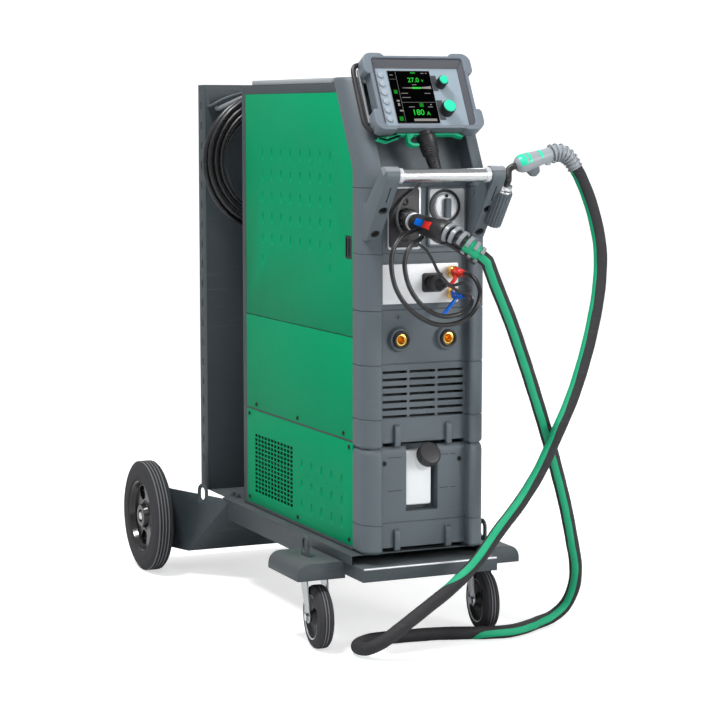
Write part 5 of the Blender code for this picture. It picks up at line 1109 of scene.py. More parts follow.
class WELDER_OT_housing(PieceMaker, bpy.types.Operator):
    """Make the housing frame, the fixed side panels, the top tray, the side screws and the rear's fan guard, screws
    and louvres
    """
    bl_idname = "welder.housing"
    bl_label = "Housing"

    def make(self):
        edge = sizes().edge_round / MM
        fit("housing_frame", rounded(merged_copy("main_case"), edge, angle=50), "dark_powder_coat",
            stands_for="main_case")
        for node in ("side_panel_left", "side_panel_right"):
            fit(f"{node}_sheet", rounded(merged_copy(node), 0.8), "green_panel_paint", stands_for=node)
        fit("loose_parts_tray", rounded(merged_copy("top_cover"), 0.8, angle=50), "light_powder_coat",
            stands_for="top_cover")
        fit("side_screws_left", side_screws([(-130, y, 420) for y in (562, 335, 103)]), "dark_recess")
        fit("side_screws_right", side_screws(
            [(130, y, z) for y in (562, 335, 103) for z in (420, 748)] + [(130, y, 1062) for y in (562, 335, 160)],
            False), "dark_recess")
        rings = bmesh.new()
        for radius in (12, 22, 32, 42, 52, 62):
            turned(arc((radius, 5), 1.3, 0, 315, 7), 56, (0, 640, 500), (0, 1, 0), closed=True, bm=rings)
        wire = swept([(8, 0, 4.2), (64, 0, 4.2)], 1.2, 8)
        spokes = grown("round", shape=wire, count=8)
        place = Matrix.Translation((0, 640, 500)) @ Matrix.Rotation(-math.pi / 2, 4, "X")
        fit("fan_guard", joined(rings, moved(spokes, place)), "zinc_plating")
        # A thin dark disc over the fan opening: painted shade in place of the space behind the guard.
        opening = turned([(0, 0), (57, 0), (57, 0.6), (0, 0.6)], 64, (0, 640, 500), (0, 1, 0))
        fit("fan_opening", opening, "dark_recess")
        heads = socket_screw(4.2, 2.4, (0, 1, 0))
        fit("rear_screws", grown("points", shape=heads, base=spots(
            [(x, 640, z) for x in (-118, 118) for z in (422, 640, 860, 1078)])), "zinc_plating")
        # Dark slots laid on the rear wall: painted shade in the louvre openings.
        louvre = prism(rounded_outline((-34, -2.4), (34, 2.4), 2.3, 4), "Y", 0, 0.7)
        slots = grown("rows", shape=louvre, columns=2, rows=9, start=(-52, 640, 760), across=(104, 0, 0),
                      up=(0, 0, 13))
        fit("rear_louvres", slots, "dark_recess")


def dimple_rim(half_wide, half_high, count=24):
    """The egg-shaped rim of a pressed dimple as (Y, Z) pairs, with its narrow end up."""
    angles = [2 * math.pi * k / count for k in range(count)]
    return [(half_wide * (1 - 0.16 * math.sin(a)) * math.cos(a), half_high * math.sin(a)) for a in angles]


def dimpled(sheet, fields, depth):
    """A side sheet with fields of pressed dimples, each a smooth dish let into an oval hole."""
    cuts, dishes = [], []
    for first, across, up, columns, rows, half_wide, half_high in fields:
        rim = dimple_rim(half_wide, half_high)
        layout = dict(columns=columns, rows=rows, start=first, across=(0, across, 0), up=(0, 0, up))
        cuts.append(grown("rows", shape=prism(rim, "X", -12, 12), **layout))
        deep = depth * min(1.0, half_wide / 5)
        levels = [(2.7, 1.0), (0.0, 1.0)] + [(deep * (1 - (s / 10) ** 3), s / 10) for s in range(9, 0, -1)]
        dish = lofted([[(x, y * share, z * share) for y, z in rim] for x, share in levels])
        dishes.append(grown("rows", shape=dish, **layout))
    return joined(carved(sheet, *cuts), *dishes)


class WELDER_OT_door(PieceMaker, bpy.types.Operator):
    """Make the dimpled door of the wire bay and its latch"""
    bl_idname = "welder.door"
    bl_label = "Door"

    def make(self):
        depth = sizes().dimple_depth / MM
        sheet = rounded(merged_copy("wire_door"), 0.8)
        fields = [((-130, 166, 953), 50.9, -44, 8, 5, 6.2, 12), ((-130, 166, 733), 356.3, -44, 2, 1, 6.2, 12)]
        fit("door_sheet", dimpled(sheet, fields, depth), "green_panel_paint", "wire_door", stands_for="wire_door",
            smooth=40)
        flange = joined(block((-127, 70, 614), (-122.5, 616, 617)), block((-127, 613.5, 614), (-122.5, 616.5, 1066)))
        fit("door_inner_flange", flange, "green_panel_paint", "wire_door")
        y, z = 80.6, 782
        frame_ring = carved(prism(rounded_outline((y - 14.4, z - 21), (y + 14.4, z + 21), 2, 3), "X", -129.9, -127.2),
                            prism(rounded_outline((y - 11.5, z - 18), (y + 11.5, z + 18), 1.5, 3), "X", -135, -120))
        fit("latch_frame", frame_ring, "black_moulded_plastic", "wire_door")
        # A dark block at the bottom of the latch frame: painted shade in the latch's recess.
        cup = block((-127.6, y - 12, z - 19), (-127.0, y + 12, z + 19))
        fit("latch_cup", cup, "dark_recess", "wire_door")
        slide = rounded(merged_copy("door_latch"), 0.5)
        fit("latch_slide", slide, "black_moulded_plastic", "door_latch", stands_for="door_latch")


class WELDER_OT_cooler(PieceMaker, bpy.types.Operator):
    """Make the cooler's case, its pierced side sheet and the radiator behind it"""
    bl_idname = "welder.cooler"
    bl_label = "Cooler"

    def make(self):
        size = sizes()
        fit("cooler_frame", rounded(merged_copy("cooler_case"), size.edge_round / MM, angle=50), "dark_powder_coat",
            stands_for="cooler_case")
        fit("cooler_sheet_right", rounded(merged_copy("cooler_side_right"), 0.8), "green_panel_paint",
            stands_for="cooler_side_right")
        low, high = Vector(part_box("cooler_side_left")[0]) / MM, Vector(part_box("cooler_side_left")[1]) / MM
        front, rear = low.y + MIDDLE_Y, high.y + MIDDLE_Y
        air_y, air_z = (361, 575), (228.5, 357)
        solid = carved(rounded(block((-130, front, low.z), (-127, rear, high.z)), 0.8),
                       block((-140, air_y[0], air_z[0]), (-120, air_y[1], air_z[1])))
        depth = size.dimple_depth / MM
        solid = dimpled(solid, [((-130, 112, 327), 50.5, -42, 5, 3, 6.2, 12),
                                ((-130, 137, 306), 50.5, -42, 4, 2, 2.4, 2.6)], depth)
        sheet = grown("lattice", length=air_y[1] - air_y[0], height=air_z[1] - air_z[0],
                      columns=size.grille_columns, rows=size.grille_rows, open_share=0.75)
        middle = (-130, sum(air_y) / 2, sum(air_z) / 2)
        turn = Matrix(((0, 0, 1, 0), (1, 0, 0, 0), (0, 1, 0, 0), (0, 0, 0, 1)))
        grid = loose_object(moved(sheet, Matrix.Translation(middle) @ turn))
        wall = grid.modifiers.new("wall", "SOLIDIFY")
        wall.thickness = 1.6
        wall.offset = -1.0
        lattice = shape_of(plain_mesh(grid))
        lowest = min(v.co.x for v in lattice.verts)
        moved(lattice, Matrix.Translation((-130 - lowest, 0, 0)))
        fit("cooler_sheet_left", joined(solid, lattice), "green_panel_paint", stands_for="cooler_side_left",
            smooth=40)
        fit("cooler_screws", side_screws([(-130, y, 215) for y in (604, 335, 76)]
                                         + [(-130, y, 397) for y in (604, 76)]), "dark_recess")
        fin = block((-119, 0, 226), (-111, 0.7, 359))
        fins = grown("rows", shape=fin, columns=52, rows=1, start=(0, 362, 0), across=(0, 4.1, 0))
        pipe = swept([(-117, 360, 0), (-117, 576, 0)], 2.6, 10)
        pipes = grown("rows", shape=pipe, columns=1, rows=6, start=(0, 0, 240), up=(0, 0, 21))
        fit("radiator_core", joined(fins, pipes), "radiator_black")


# ---------------------------------------------------------------- fronts
def lean(z):
    return max(0.0, z - SLOPE_Z) * SLOPE


def front_ring(z, inset, back=60.0):
    """Plan of the plastic front at one height: round columns and a recessed centre."""
    left = [(-130 + inset, back), (-130 + inset, 30)]
    left += arc((-100, 30), 30 - inset, 180, 270, 10)[1:]
    left += arc((-99, 7), 7 - inset, 270, 360, 6)
    left += [(-92 - inset, 22 + inset)]
    right = [(-x, y) for x, y in reversed(left)]
    return [(x, y + lean(z), z) for x, y in left + right]


def stacked_front(levels):
    return lofted([front_ring(z, inset) for z, inset in levels])


def seam(z):
    return [(z - 1.4, 0), (z - 0.5, 1.6), (z + 0.5, 1.6), (z + 1.4, 0)]


def connector_hole(deep):
    """The bore for the torch's connector, cut through the front and the plates on it."""
    return turned([(0, -deep), (19, -deep), (19, 20), (0, 20)], 40, (-40, 22, 838), FORWARD)


def bumper_rib(middle, low, high):
    outline = [(23, high), (16, high - 4), (14, high - 10), (14, low + 3), (17, low), (23, low)]
    return rounded(prism(outline, "X", middle - 6, middle + 6), 1.6)


def plain_text(words, size, axis_place):
    """Plain figures as a flat solid, standing on the XZ plane."""
    curve = bpy.data.curves.new("figures", "FONT")
    curve.body = words
    curve.size = size
    curve.extrude = 0.15
    curve.align_x, curve.align_y = "CENTER", "CENTER"
    curve.resolution_u = 3
    obj = bpy.data.objects.new("figures", curve)
    bpy.context.scene.collection.objects.link(obj)
    mesh = plain_mesh(obj)
    bpy.data.curves.remove(curve)
    bm = shape_of(mesh)
    return moved(bm, Matrix.Translation(axis_place) @ Matrix.Rotation(math.pi / 2, 4, "X"))


class WELDER_OT_fronts(PieceMaker, bpy.types.Operator):
    """Make the moulded fronts with their vents, bumpers, plates and marks"""
    bl_idname = "welder.fronts"
    bl_label = "Moulded fronts"

    def make(self):
        low = 400.0
        levels = [(low, 5), (low + 2, 2), (low + 5, 0)]
        for z in (456, 560, 664):
            levels += seam(z)
        levels += [(771, 0), (771.85, 1)]
        spans = []
        for start, end in ((-88, -32.5), (-27.5, 27.5), (32.5, 88)):
            one = prism(rounded_outline((start, -2.6), (end, 2.6), 1.2, 3), "Y", 15, 36)
            spans.append(grown("rows", shape=one, columns=1, rows=7, start=(0, 0, 458.5), up=(0, 0, 14.3)))
        foot = block((-91.5, -60, low - 8), (91.5, 120, low + 8))
        front = carved(stacked_front(levels), *spans, foot)
        wells = [turned([(0, -26), (17.3, -26), (17.3, 20), (0, 20)], 48, (x, 22, 607), FORWARD) for x in (-50, 50)]
        collars = [turned([(0, -2), (25, -2), (24, 0), (22.4, 8), (21, 10), (0, 10)], 48, (x, 22, 607), FORWARD)
                   for x in (-50, 50)]
        front = carved(carved(front, *collars, how="UNION"), *wells)
        ribs = [bumper_rib(x, low, low + 44) for x in (-55, 55)]
        fit("lower_front_moulding", joined(front, *ribs), "grey_moulded_plastic", stands_for="front_lower")
        fit("vent_shadow", block((-90, 35, 452), (90, 35.6, 552)), "dark_recess")
        fit("plus_mark", joined(block((-57.5, 21.6, 649.3), (-46.5, 22.2, 650.7)),
                                block((-52.7, 21.6, 644.5), (-51.3, 22.2, 655.5))), "dark_recess")

        levels = [(772.15, 1), (773, 0)] + seam(897) + [(932, 0), (1098, 0), (1102, 0.8), (1104.5, 2), (1106, 6)]
        bay = [(-50, 905), (50, 905), (50, 932), (50 + lean(1094), 1094), (lean(1094) - 50, 1094)]
        upper = carved(stacked_front(levels), prism(bay, "X", -96, 96), connector_hole(45))
        fit("upper_front_moulding", upper, "grey_moulded_plastic", stands_for="front_upper")
        self.plates()
        self.cooler()

    def plates(self):
        """What is screwed on the recessed centre: connector plate, switch field, bare label."""
        rim = rounded(prism(rounded_outline((-75, 779), (-5, 898), 5), "Y", 19.4, 22.1), 0.6)
        fit("connector_rim", carved(rim, connector_hole(20)), "silver_plate")
        plate = rounded(prism(rounded_outline((-73, 783), (-10, 895), 5), "Y", 16.4, 19.6), 0.8)
        fit("connector_plate", carved(plate, connector_hole(20)), "black_moulded_plastic")
        bolt = moved(carved(turned([(0, 0), (7, 0), (7, 1.4), (6, 2), (0, 2)], 32),
                            turned([(0, -1), (4.2, -1), (4.2, 5), (0, 5)], 6)), Matrix.Rotation(math.pi / 2, 4, "X"))
        fit("connector_bolts", grown("points", shape=bolt, base=spots([(-40, 16.6, 870), (-40, 16.6, 800)])),
            "dark_recess")
        field = rounded(prism(rounded_outline((10.5, 785.5), (88.5, 895.5), 5), "Y", 17.2, 19.2), 0.5)
        fit("switch_field", field, "silver_plate")
        border = carved(prism(rounded_outline((8, 783), (91, 898), 7), "Y", 16.4, 22.1),
                        prism(rounded_outline((12.5, 787.5), (86.5, 893.5), 5), "Y", 0, 40))
        fit("switch_border", rounded(border, 0.8), "grey_moulded_plastic")
        ring = turned([(27.5, 0), (33, 0), (33, 1.6), (31.5, 2.4), (28.5, 2.4), (27.5, 1.6)], 64, (44, 17.2, 860),
                      FORWARD, closed=True)
        fit("switch_ring", ring, "black_moulded_plastic")
        label = rounded(prism(rounded_outline((-87, 675), (76, 751), 3), "Y", 20.8, 22.1), 0.5)
        fit("bare_label", label, "white_plate")
        frame_line = carved(prism(rounded_outline((-90, 672), (79, 754), 5), "Y", 20.2, 22.1),
                            prism(rounded_outline((-87.4, 674.6), (76.4, 751.4), 3), "Y", 10, 30))
        fit("label_frame", rounded(frame_line, 0.5), "grey_moulded_plastic")
        socket_plate = rounded(prism(rounded_outline((-2, 696), (42, 733), 6), "Y", 18.6, 21), 0.6)
        fit("multi_pin_flange", socket_plate, "black_moulded_plastic")

    def cooler(self):
        low, high = 195.3, 399.7
        levels = [(low, 6), (low + 2, 2.6), (low + 6, 0)] + seam(252)
        levels += [(high - 14, 0), (high - 9, 0.7), (high - 5, 2), (high - 1.5, 4), (high, 6)]
        window = rounded(block((-34, -30, 272), (34, 52, high + 8)), 2.5)
        foot = block((-91.5, -60, low - 16), (91.5, 120, low + 8))
        pits = [turned([(0, -3), (4.6, -3), (6, 3), (0, 3)], 24, (x, 22, 368), FORWARD) for x in (-81, 81)]
        front = carved(stacked_front(levels), window, foot, *pits)
        ribs = [bumper_rib(x, low + 2, low + 45) for x in (-55, 55)]
        fit("cooler_front_moulding", joined(front, *ribs), "grey_moulded_plastic", stands_for="cooler_front")
        fit("cooler_front_screws", grown("points", shape=socket_screw(4, 2, FORWARD), base=spots(
            [(-81, 25, 368), (81, 25, 368)])), "dark_recess")
        ticks = bmesh.new()
        for z in (314, 379):
            for a, b in ((-73, -43), (38, 56), (61, 73)):
                block((a, 21.7, z - 0.5), (b, 22.3, z + 0.5), ticks)
        fit("level_ticks", ticks, "dark_recess")


class WELDER_OT_sockets(PieceMaker, bpy.types.Operator):
    """Make the two welding sockets with their brass bores"""
    bl_idname = "welder.sockets"
    bl_label = "Welding sockets"

    def make(self):
        for word, x in (("plus", -50), ("minus", 50)):
            shell = [(12, -24), (17, -24), (17, 13), (16, 15.4), (14.6, 16), (13, 15.4), (12, 13)]
            fit(f"socket_shell_{word}", turned(shell, 56, (x, 22, 607), FORWARD, closed=True),
                "black_moulded_plastic", stands_for=f"weld_socket_{word}")
            bore = [(0, -22), (11.8, -22), (11.8, 11), (11, 12.4), (8.6, 12.8), (6.5, 11), (6.5, -18), (0, -18)]
            fit(f"socket_bore_{word}", turned(bore, 48, (x, 22, 607), FORWARD), "brass_bore")


class WELDER_OT_switch(PieceMaker, bpy.types.Operator):
    """Make the rotary main switch"""
    bl_idname = "welder.switch"
    bl_label = "Main switch"

    def make(self):
        face, centre = 17.0, (44, 860)
        disc = turned([(0, 0), (25.6, 0), (25.8, 3), (24.6, 6.4), (22, 8), (0, 8.6)], 64,
                      (centre[0], face, centre[1]), FORWARD)
        fit("switch_disc", disc, "silver_plate", "main_switch", stands_for="main_switch")
        grip = prism(rounded_outline((centre[0] - 6, centre[1] - 22), (centre[0] + 6, centre[1] + 16), 4), "Y",
                     face - 18, face - 7)
        fit("switch_grip", rounded(grip, 1.6, 3), "grey_moulded_plastic", "main_switch")
        dot = turned([(0, 8), (3.4, 8), (3.4, 9.4), (0, 9.4)], 24, (centre[0], face, centre[1] + 20.4), FORWARD)
        fit("switch_dot", dot, "dark_recess", "main_switch")


# ---------------------------------------------------------------- tank
class WELDER_OT_tank(PieceMaker, bpy.types.Operator):
    """Make the coolant tank with its neck and the knurled cap"""
    bl_idname = "welder.tank"
    bl_label = "Coolant tank"

    def make(self):
        tank = rounded(block((-33, 28.2, 282), (23.6, 51.4, 390)), 5, 4)
        axis = Vector((0, -math.cos(math.radians(28)), math.sin(math.radians(28))))
        root = Vector((7.25, 28, 372))
        neck = turned([(0, -12), (21, -12), (20, 2), (17.4, 6), (17, 11.6), (0, 11.6)], 48, root, axis)
        fit("tank_body", joined(tank, neck), "white_tank_plastic", stands_for="coolant_tank",
            smooth=35)
        start = root + axis * 12.3
        turn = Matrix.Translation(start) @ turn_to(axis)
        body = turned([(0, 0), (20, 0), (21.5, 1.5), (21.5, 19), (20, 21), (17, 21.8), (0, 21)], 72)
        rib = prism(arc((21.4, 0), 1.5, 0, 330, 11), "Z", 1.4, 18.6)
        knurl = grown("round", shape=rib, count=30)
        fit("cap_body", moved(joined(body, knurl), turn), "black_moulded_plastic", "coolant_cap",
            stands_for="coolant_cap")


# ---------------------------------------------------------------- handle and torch
HOLDER_AXIS = Vector((0.04, -0.555, 0.832)).normalized()
HOLDER_FOOT = Vector((125.5, -22, 826))
HANDLE_SEAT = Vector((-4, 6, 0))             # where the handle is set, off its drawn place
ARM_BOLTS = ((-14, 811), (-48, 857))         # Y and Z of the bolts on an arm's slanted face
ARM_FACE = Vector((0, -0.785, -0.62))
TUBE_MIDDLE = (-80, 922)                     # Y and Z of the tube's axis


class WELDER_OT_handle(PieceMaker, bpy.types.Operator):
    """Make the handle's cast arms, its tube and the torch holder"""
    bl_idname = "welder.handle"
    bl_label = "Handle"

    def make(self):
        seat = FLOOR @ Matrix.Translation(HANDLE_SEAT)
        bolts, lids = bmesh.new(), bmesh.new()
        for side, word in SIDES:
            fit(f"arm_{word}_casting", self.arm(side), "grey_moulded_plastic", stands_for=f"handle_arm_{word}",
                place=seat)
            for y, z in ARM_BOLTS:
                turned([(0, -9), (8.8, -9), (8.8, -4), (5, -4), (5, -6), (0, -6)], 28, (side * 110, y, z), ARM_FACE,
                       bm=bolts)
            low, high = sorted((side * 95.4, side * 124.4))
            prism(arc(TUBE_MIDDLE, 17.3, 55, 150, 16) + [TUBE_MIDDLE], "X", low, high, bm=lids)
        # Bolt heads deep in their wells, near black: the bolts' own dark colour and painted shade of the wells.
        fit("arm_bolts", bolts, "dark_recess", place=seat)
        fit("arm_top_lids", rounded(lids, 0.8), "silver_grey_plastic", place=seat)
        tube = turned([(0, -107), (12.6, -107), (12.6, 107), (0, 107)], 64, (0, *TUBE_MIDDLE), (1, 0, 0))
        fit("handle_tube_brushed", tube, "brushed_aluminium", stands_for="handle_tube",
            place=seat)
        collars = bmesh.new()
        for side in (-1, 1):
            turned([(12.7, 86), (14, 86.6), (14, 95), (12.7, 95.6)], 48, (0, *TUBE_MIDDLE), (side, 0, 0), closed=True,
                   bm=collars)
        fit("tube_collars", collars, "silver_plate", place=seat)
        turn = Matrix.Translation(HOLDER_FOOT) @ turn_to(HOLDER_AXIS)
        flutes = [((17.6 if k % 3 else 16) * math.cos(2 * math.pi * k / 48),
                   (17.6 if k % 3 else 16) * math.sin(2 * math.pi * k / 48)) for k in range(48)]
        sleeve = carved(prism(flutes, "Z", 3, 76), turned([(0, -5), (10.6, -5), (10.6, 90), (0, 90)], 40))
        fit("holder_sleeve", moved(sleeve, turn), "grey_moulded_plastic")
        nut = carved(turned([(0, 76), (14, 76), (14.5, 77), (14.5, 81), (13.5, 82), (0, 82)], 12),
                     turned([(0, 60), (10.6, 60), (10.6, 90), (0, 90)], 40))
        fit("holder_ring", moved(nut, turn), "zinc_plating")

    def arm(self, side):
        """An arm seen from the side, drawn out across, with its bolt wells and tube seat."""
        outline = [(22, 798), (22, 870), (-2, 870)] + arc(TUBE_MIDDLE, 17, 60, 215, 24)
        outline += [(-6, 801), (-2, 798)]
        low, high = sorted((side * 96, side * 124))
        arm = rounded(prism(outline, "X", low, high), 2.2, 3, angle=40)
        column = [(x, y) for x, y, _ in front_ring(798, -0.3)]
        seat = turned([(0, 91), (12.3, 91), (12.3, 108), (0, 108)], 40, (0, *TUBE_MIDDLE), (side, 0, 0))
        wells = [turned([(0, -12), (9, -12), (9, 20), (0, 20)], 28, (side * 110, y, z), ARM_FACE)
                 for y, z in ARM_BOLTS]
        slit = moved(block((-1.2, -14, -18), (1.2, 10, 18)),
                     Matrix.Translation((side * 110, -75, 884)) @ Matrix.Rotation(math.radians(38), 4, "X"))
        return carved(arm, prism(column, "Z", 790, 880), seat, *wells, slit)


TORCH_HAND = Vector((152, -66, 938))
TORCH_TAIL = Vector((229, -68, 960))
TORCH_RUN = (TORCH_TAIL - TORCH_HAND).normalized()
TORCH_DOWN = Vector((TORCH_RUN.z, 0, -TORCH_RUN.x)).normalized()


def width_at(profile, distance):
    """The radius of a turned profile of (radius, height) pairs at one height."""
    for (a, low), (b, high) in zip(profile, profile[1:]):
        if low <= distance <= high and high > low:
            return a + (b - a) * (distance - low) / (high - low)
    return profile[-2][0]


def ribbed_boot(route, first, last, ribs, bend_radius, body_first, body_last):
    """A bend protection: a slim core and separate rounded ribs along it."""
    line = smooth_route(route, 2.0)
    count = len(line) - 1
    core = swept(line, [body_first + (body_last - body_first) * k / count for k in range(count + 1)], 32)
    ring = ring_shape(first, bend_radius, 36, 8)
    rings = grown("path", shape=ring, base=path_mesh(line), count=ribs, first_size=1.0, last_size=last / first)
    return joined(core, rings)


class WELDER_OT_torch(PieceMaker, bpy.types.Operator):
    """Make the torch in its holder: nozzle, neck, grip, trigger and bend protection"""
    bl_idname = "welder.torch"
    bl_label = "Torch"

    def make(self):
        def cup(d):
            return HOLDER_FOOT + HOLDER_AXIS * d
        nozzle = [(0, 8), (8.8, 8), (10.1, 10), (10.1, 83), (0, 83)]
        bend = smooth_route([cup(97), cup(104), TORCH_HAND - Vector((13, -2, 8)), TORCH_HAND - TORCH_RUN * 5,
                             TORCH_HAND - TORCH_RUN * 0.4], 3)
        neck = swept([cup(93), cup(95)] + bend, 6.5, 28)
        fit("torch_neck_tube", neck, "black_moulded_plastic", stands_for="torch_neck")
        fit("torch_nozzle", turned(nozzle, 40, HOLDER_FOOT, HOLDER_AXIS), "zinc_plating")
        nut = turned([(0, 83.4), (12, 83.4), (12.4, 84.5), (12.4, 92), (9, 93.4), (0, 93.4)], 12, HOLDER_FOOT,
                     HOLDER_AXIS)
        fit("torch_neck_nut", nut, "polished_chrome")
        self.grip()
        boot = run_out([TORCH_HAND, TORCH_TAIL], 3)[:1] + vectors(TORCH_BOOT)
        fit("torch_bend_boot", ribbed_boot(boot, 17.2, 14.4, 8, 1.7, 14.6, 13.2), "light_moulded_plastic",
            stands_for="torch_boot", smooth=50)

    def grip(self):
        profile = ((8.4, 0), (10.5, 1.5), (14, 5), (17, 11), (18, 18), (17.6, 26), (17, 34), (15, 50), (14.2, 62),
                   (14, 70), (14.4, 77), (13.4, 79))
        body = swept([TORCH_HAND + TORCH_RUN * d for _, d in profile], [r for r, _ in profile], 36)
        middle = TORCH_HAND.y + TORCH_RUN.y * 33
        slot = prism(self.beside([(17, 10), (49, 10), (49, 40), (17, 40)]), "Y", middle - 6, middle + 6)
        fit("torch_grip_shell", carved(body, slot), "light_moulded_plastic", stands_for="torch_handle",
            smooth=40)
        inlay = bmesh.new()
        for d0, d1 in ((6, 20), (24, 30), (50, 56)):
            along = [d0 + (d1 - d0) * k / 6 for k in range(7)]
            swept([TORCH_HAND + TORCH_RUN * d for d in along], [width_at(profile, d) + 0.5 for d in along], 36,
                  bm=inlay)
        wedge = prism(self.beside([(-20, -60), (100, -60), (100, -2), (-20, 4)]), "Y", -140, 20)
        fit("torch_green_inlay", carved(inlay, wedge, how="INTERSECT"), "mint_plastic", smooth=40)
        outline = self.beside([(18, 13.5), (47, 13.5), (45.6, 24), (43, 27), (35, 31), (31, 30.4), (27, 28),
                               (21, 19)])
        trigger = rounded(prism(outline, "Y", middle - 5.4, middle + 5.4), 1.4, 3)
        fit("torch_trigger_key", trigger, "grey_moulded_plastic", "torch_trigger", stands_for="torch_trigger")
        pad = prism(self.beside([(62, 12.4), (74, 12.6), (72, 20), (64, 18)]), "Y", middle - 4, middle + 4)
        fit("torch_grip_fin", rounded(pad, 1.2), "light_moulded_plastic")

    def beside(self, pairs):
        """Points given along the grip and below its axis, as (X, Z)."""
        found = [TORCH_HAND + TORCH_RUN * d + TORCH_DOWN * h for d, h in pairs]
        return [(p.x, p.z) for p in found]


# ---------------------------------------------------------------- connectors on the front
PLUG_ROOT = Vector((-40, 20, 838))
PLUG_TIP = Vector((-15, -122, 815))


class WELDER_OT_torch_plug(PieceMaker, bpy.types.Operator):
    """Make the torch connector on the front, with its coloured marks and ribbed boot"""
    bl_idname = "welder.torch_plug"
    bl_label = "Torch connector"

    def make(self):
        run = (PLUG_TIP - PLUG_ROOT).normalized()
        length = (PLUG_TIP - PLUG_ROOT).length
        turn = Matrix.Translation(PLUG_ROOT) @ turn_to(run)
        profile = [(0, -22), (13, -22), (13, 1), (17, 2), (20, 5), (20, 22), (19, 25), (15.4, 26), (15.4, 36),
                   (17.6, 40), (18.4, 60), (19.4, 84), (20.6, 104), (22.6, 112), (23.6, 120), (23, 136),
                   (21.5, length - 2), (20, length), (0, length)]
        body = turned(profile, 56)
        lobe = prism(arc((19.4, 0), 2.4, 0, 330, 11), "Z", 5, 21)
        knurl = grown("round", shape=lobe, count=14)
        fit("plug_body", moved(joined(body, knurl), turn), "black_moulded_plastic", stands_for="torch_plug",
            smooth=38)
        ring = turned([(15.5, 28), (17.8, 28.6), (17.8, 33.4), (15.5, 34)], 48, closed=True)
        fit("plug_union_ring", moved(ring, turn), "silver_plate")
        face = TOWARDS_CAMERA - run * TOWARDS_CAMERA.dot(run)
        face.normalize()
        frame_axes = Matrix(((*run, 0), (*run.cross(face), 0), (*face, 0), (0, 0, 0, 1))).transposed()
        for name, start, end, coat in (("plug_mark_blue", 58, 83.5, "blue_plastic"),
                                       ("plug_mark_red", 85.5, 111, "red_plastic")):
            rows = []
            for turn_by in range(-20, 21, 5):
                a = math.radians(turn_by)
                reach = [(d, width_at(profile, d) + lift)
                         for d, lift in ((start, -1), (end, -1), (end, 0.6), (start, 0.6))]
                rows.append([(d, r * math.sin(a), r * math.cos(a)) for d, r in reach])
            fit(name, moved(lofted(rows), Matrix.Translation(PLUG_ROOT) @ frame_axes), coat)
        boot = [PLUG_TIP - run * 1.5] + vectors(PLUG_BOOT[1:])
        line = smooth_route(boot, 2.0)
        count = len(line) - 1
        fit("plug_bend_core", swept(line, [15.2 - 2 * k / count for k in range(count + 1)], 32),
            "black_moulded_plastic", smooth=50)
        lining = line[round(count * 0.55):]
        fit("plug_bend_lining", swept(lining, [14.3 - 0.6 * k / len(lining) for k in range(len(lining))], 32),
            "hanger_green", smooth=50)
        rib = lofted([[(r * math.cos(a), r * math.sin(a), z) for r, z in ((1, -4), (1.1, -3.4), (1.1, 3.4), (1, 4),
                                                                         (0.86, 3.4), (0.86, -3.4))]
                      for a in (math.radians(d) for d in range(0, 301, 12))])
        turn_up = Matrix.Rotation(math.radians(-60), 4, "Z") @ Matrix.Diagonal((17.4, 17.4, 1, 1))
        ribs = grown("path", shape=moved(rib, turn_up), base=path_mesh(line[2:]), count=6, first_size=1.12,
                     last_size=0.92)
        fit("plug_bend_ribs", ribs, "silver_grey_plastic", smooth=40)
        spine = [p + Vector((-6, 4, -15)) for p in line]
        fit("plug_bend_spine", swept(spine, 5.5, 12), "black_moulded_plastic", smooth=50)


class WELDER_OT_couplings(PieceMaker, bpy.types.Operator):
    """Make the multi-pin plug and the red and blue coolant couplings"""
    bl_idname = "welder.couplings"
    bl_label = "Couplings"

    def make(self):
        face = 21.7
        profile = [(0, 0), (15, 0), (15, 11), (13.6, 13.4), (12.5, 14), (12.5, 40), (10, 44), (8, 52), (6.2, 60),
                   (0, 60)]
        rib = prism(arc((12.4, 0), 1.1, 0, 315, 7), "Z", 16, 38)
        knurl = grown("round", shape=rib, count=18)
        turn = Matrix.Translation((19, face, 714)) @ Matrix.Rotation(math.pi / 2, 4, "X")
        fit("multi_pin_body", moved(joined(turned(profile, 40), knurl), turn), "black_moulded_plastic",
            stands_for="multi_pin_plug")
        for word, z, across, down in (("red", 734, 20, 26), ("blue", 692, 32, 36)):
            centre = (61, face, z)
            body = turned([(0, 0), (10, 0), (10, 19), (8.6, 21), (8, 22), (8, 42), (6, 45), (5.5, 58), (0, 58)], 40,
                          centre, FORWARD)
            brass = turned([(10.1, 2), (11.6, 3), (11.6, 9), (10.6, 10), (11.6, 11), (11.6, 17), (10.1, 18)], 40,
                           centre, FORWARD, closed=True)
            fit(f"coupling_{word}_body", body, f"{word}_plastic", stands_for=f"coupling_{word}")
            fit(f"coupling_{word}_collar", brass, "brass_bore")
            outline = [(56.5, z), (65.5, z), (65.5 - across, z - down), (61 - across, z - down - 3),
                       (56.5 - across, z - down)]
            fit(f"coupling_{word}_lever", rounded(prism(outline, "Y", face - 36, face - 31), 1.2), f"{word}_plastic")


# ---------------------------------------------------------------- control box
def box_ring(inset, y):
    """The case's outline at one depth."""
    return [(x, y, z) for x, z in rounded_outline((-103 + inset, -78 + inset), (103 - inset, 75.5 - inset),
                                                  max(3.0, 14 - inset), 6)]


def corner_guard(across, up):
    """A bumper round one corner of the case, drawn for the right-hand top corner."""
    outline = [(114, 44)] + arc((95, 62.5), 19, 0, 90, 9)
    outline += [(77, 81.5), (72, 79.5), (68, 76.5), (68, 72.8), (86, 72.8)]
    outline += arc((86, 62.8), 10, 90, 0, 5)[1:] + [(96, 43), (102, 38), (110, 38)]
    guard = rounded(prism(outline, "Y", -3.5, 26), 2.6, 3, angle=30)
    return moved(guard, Matrix.Diagonal((across, 1, up, 1)))


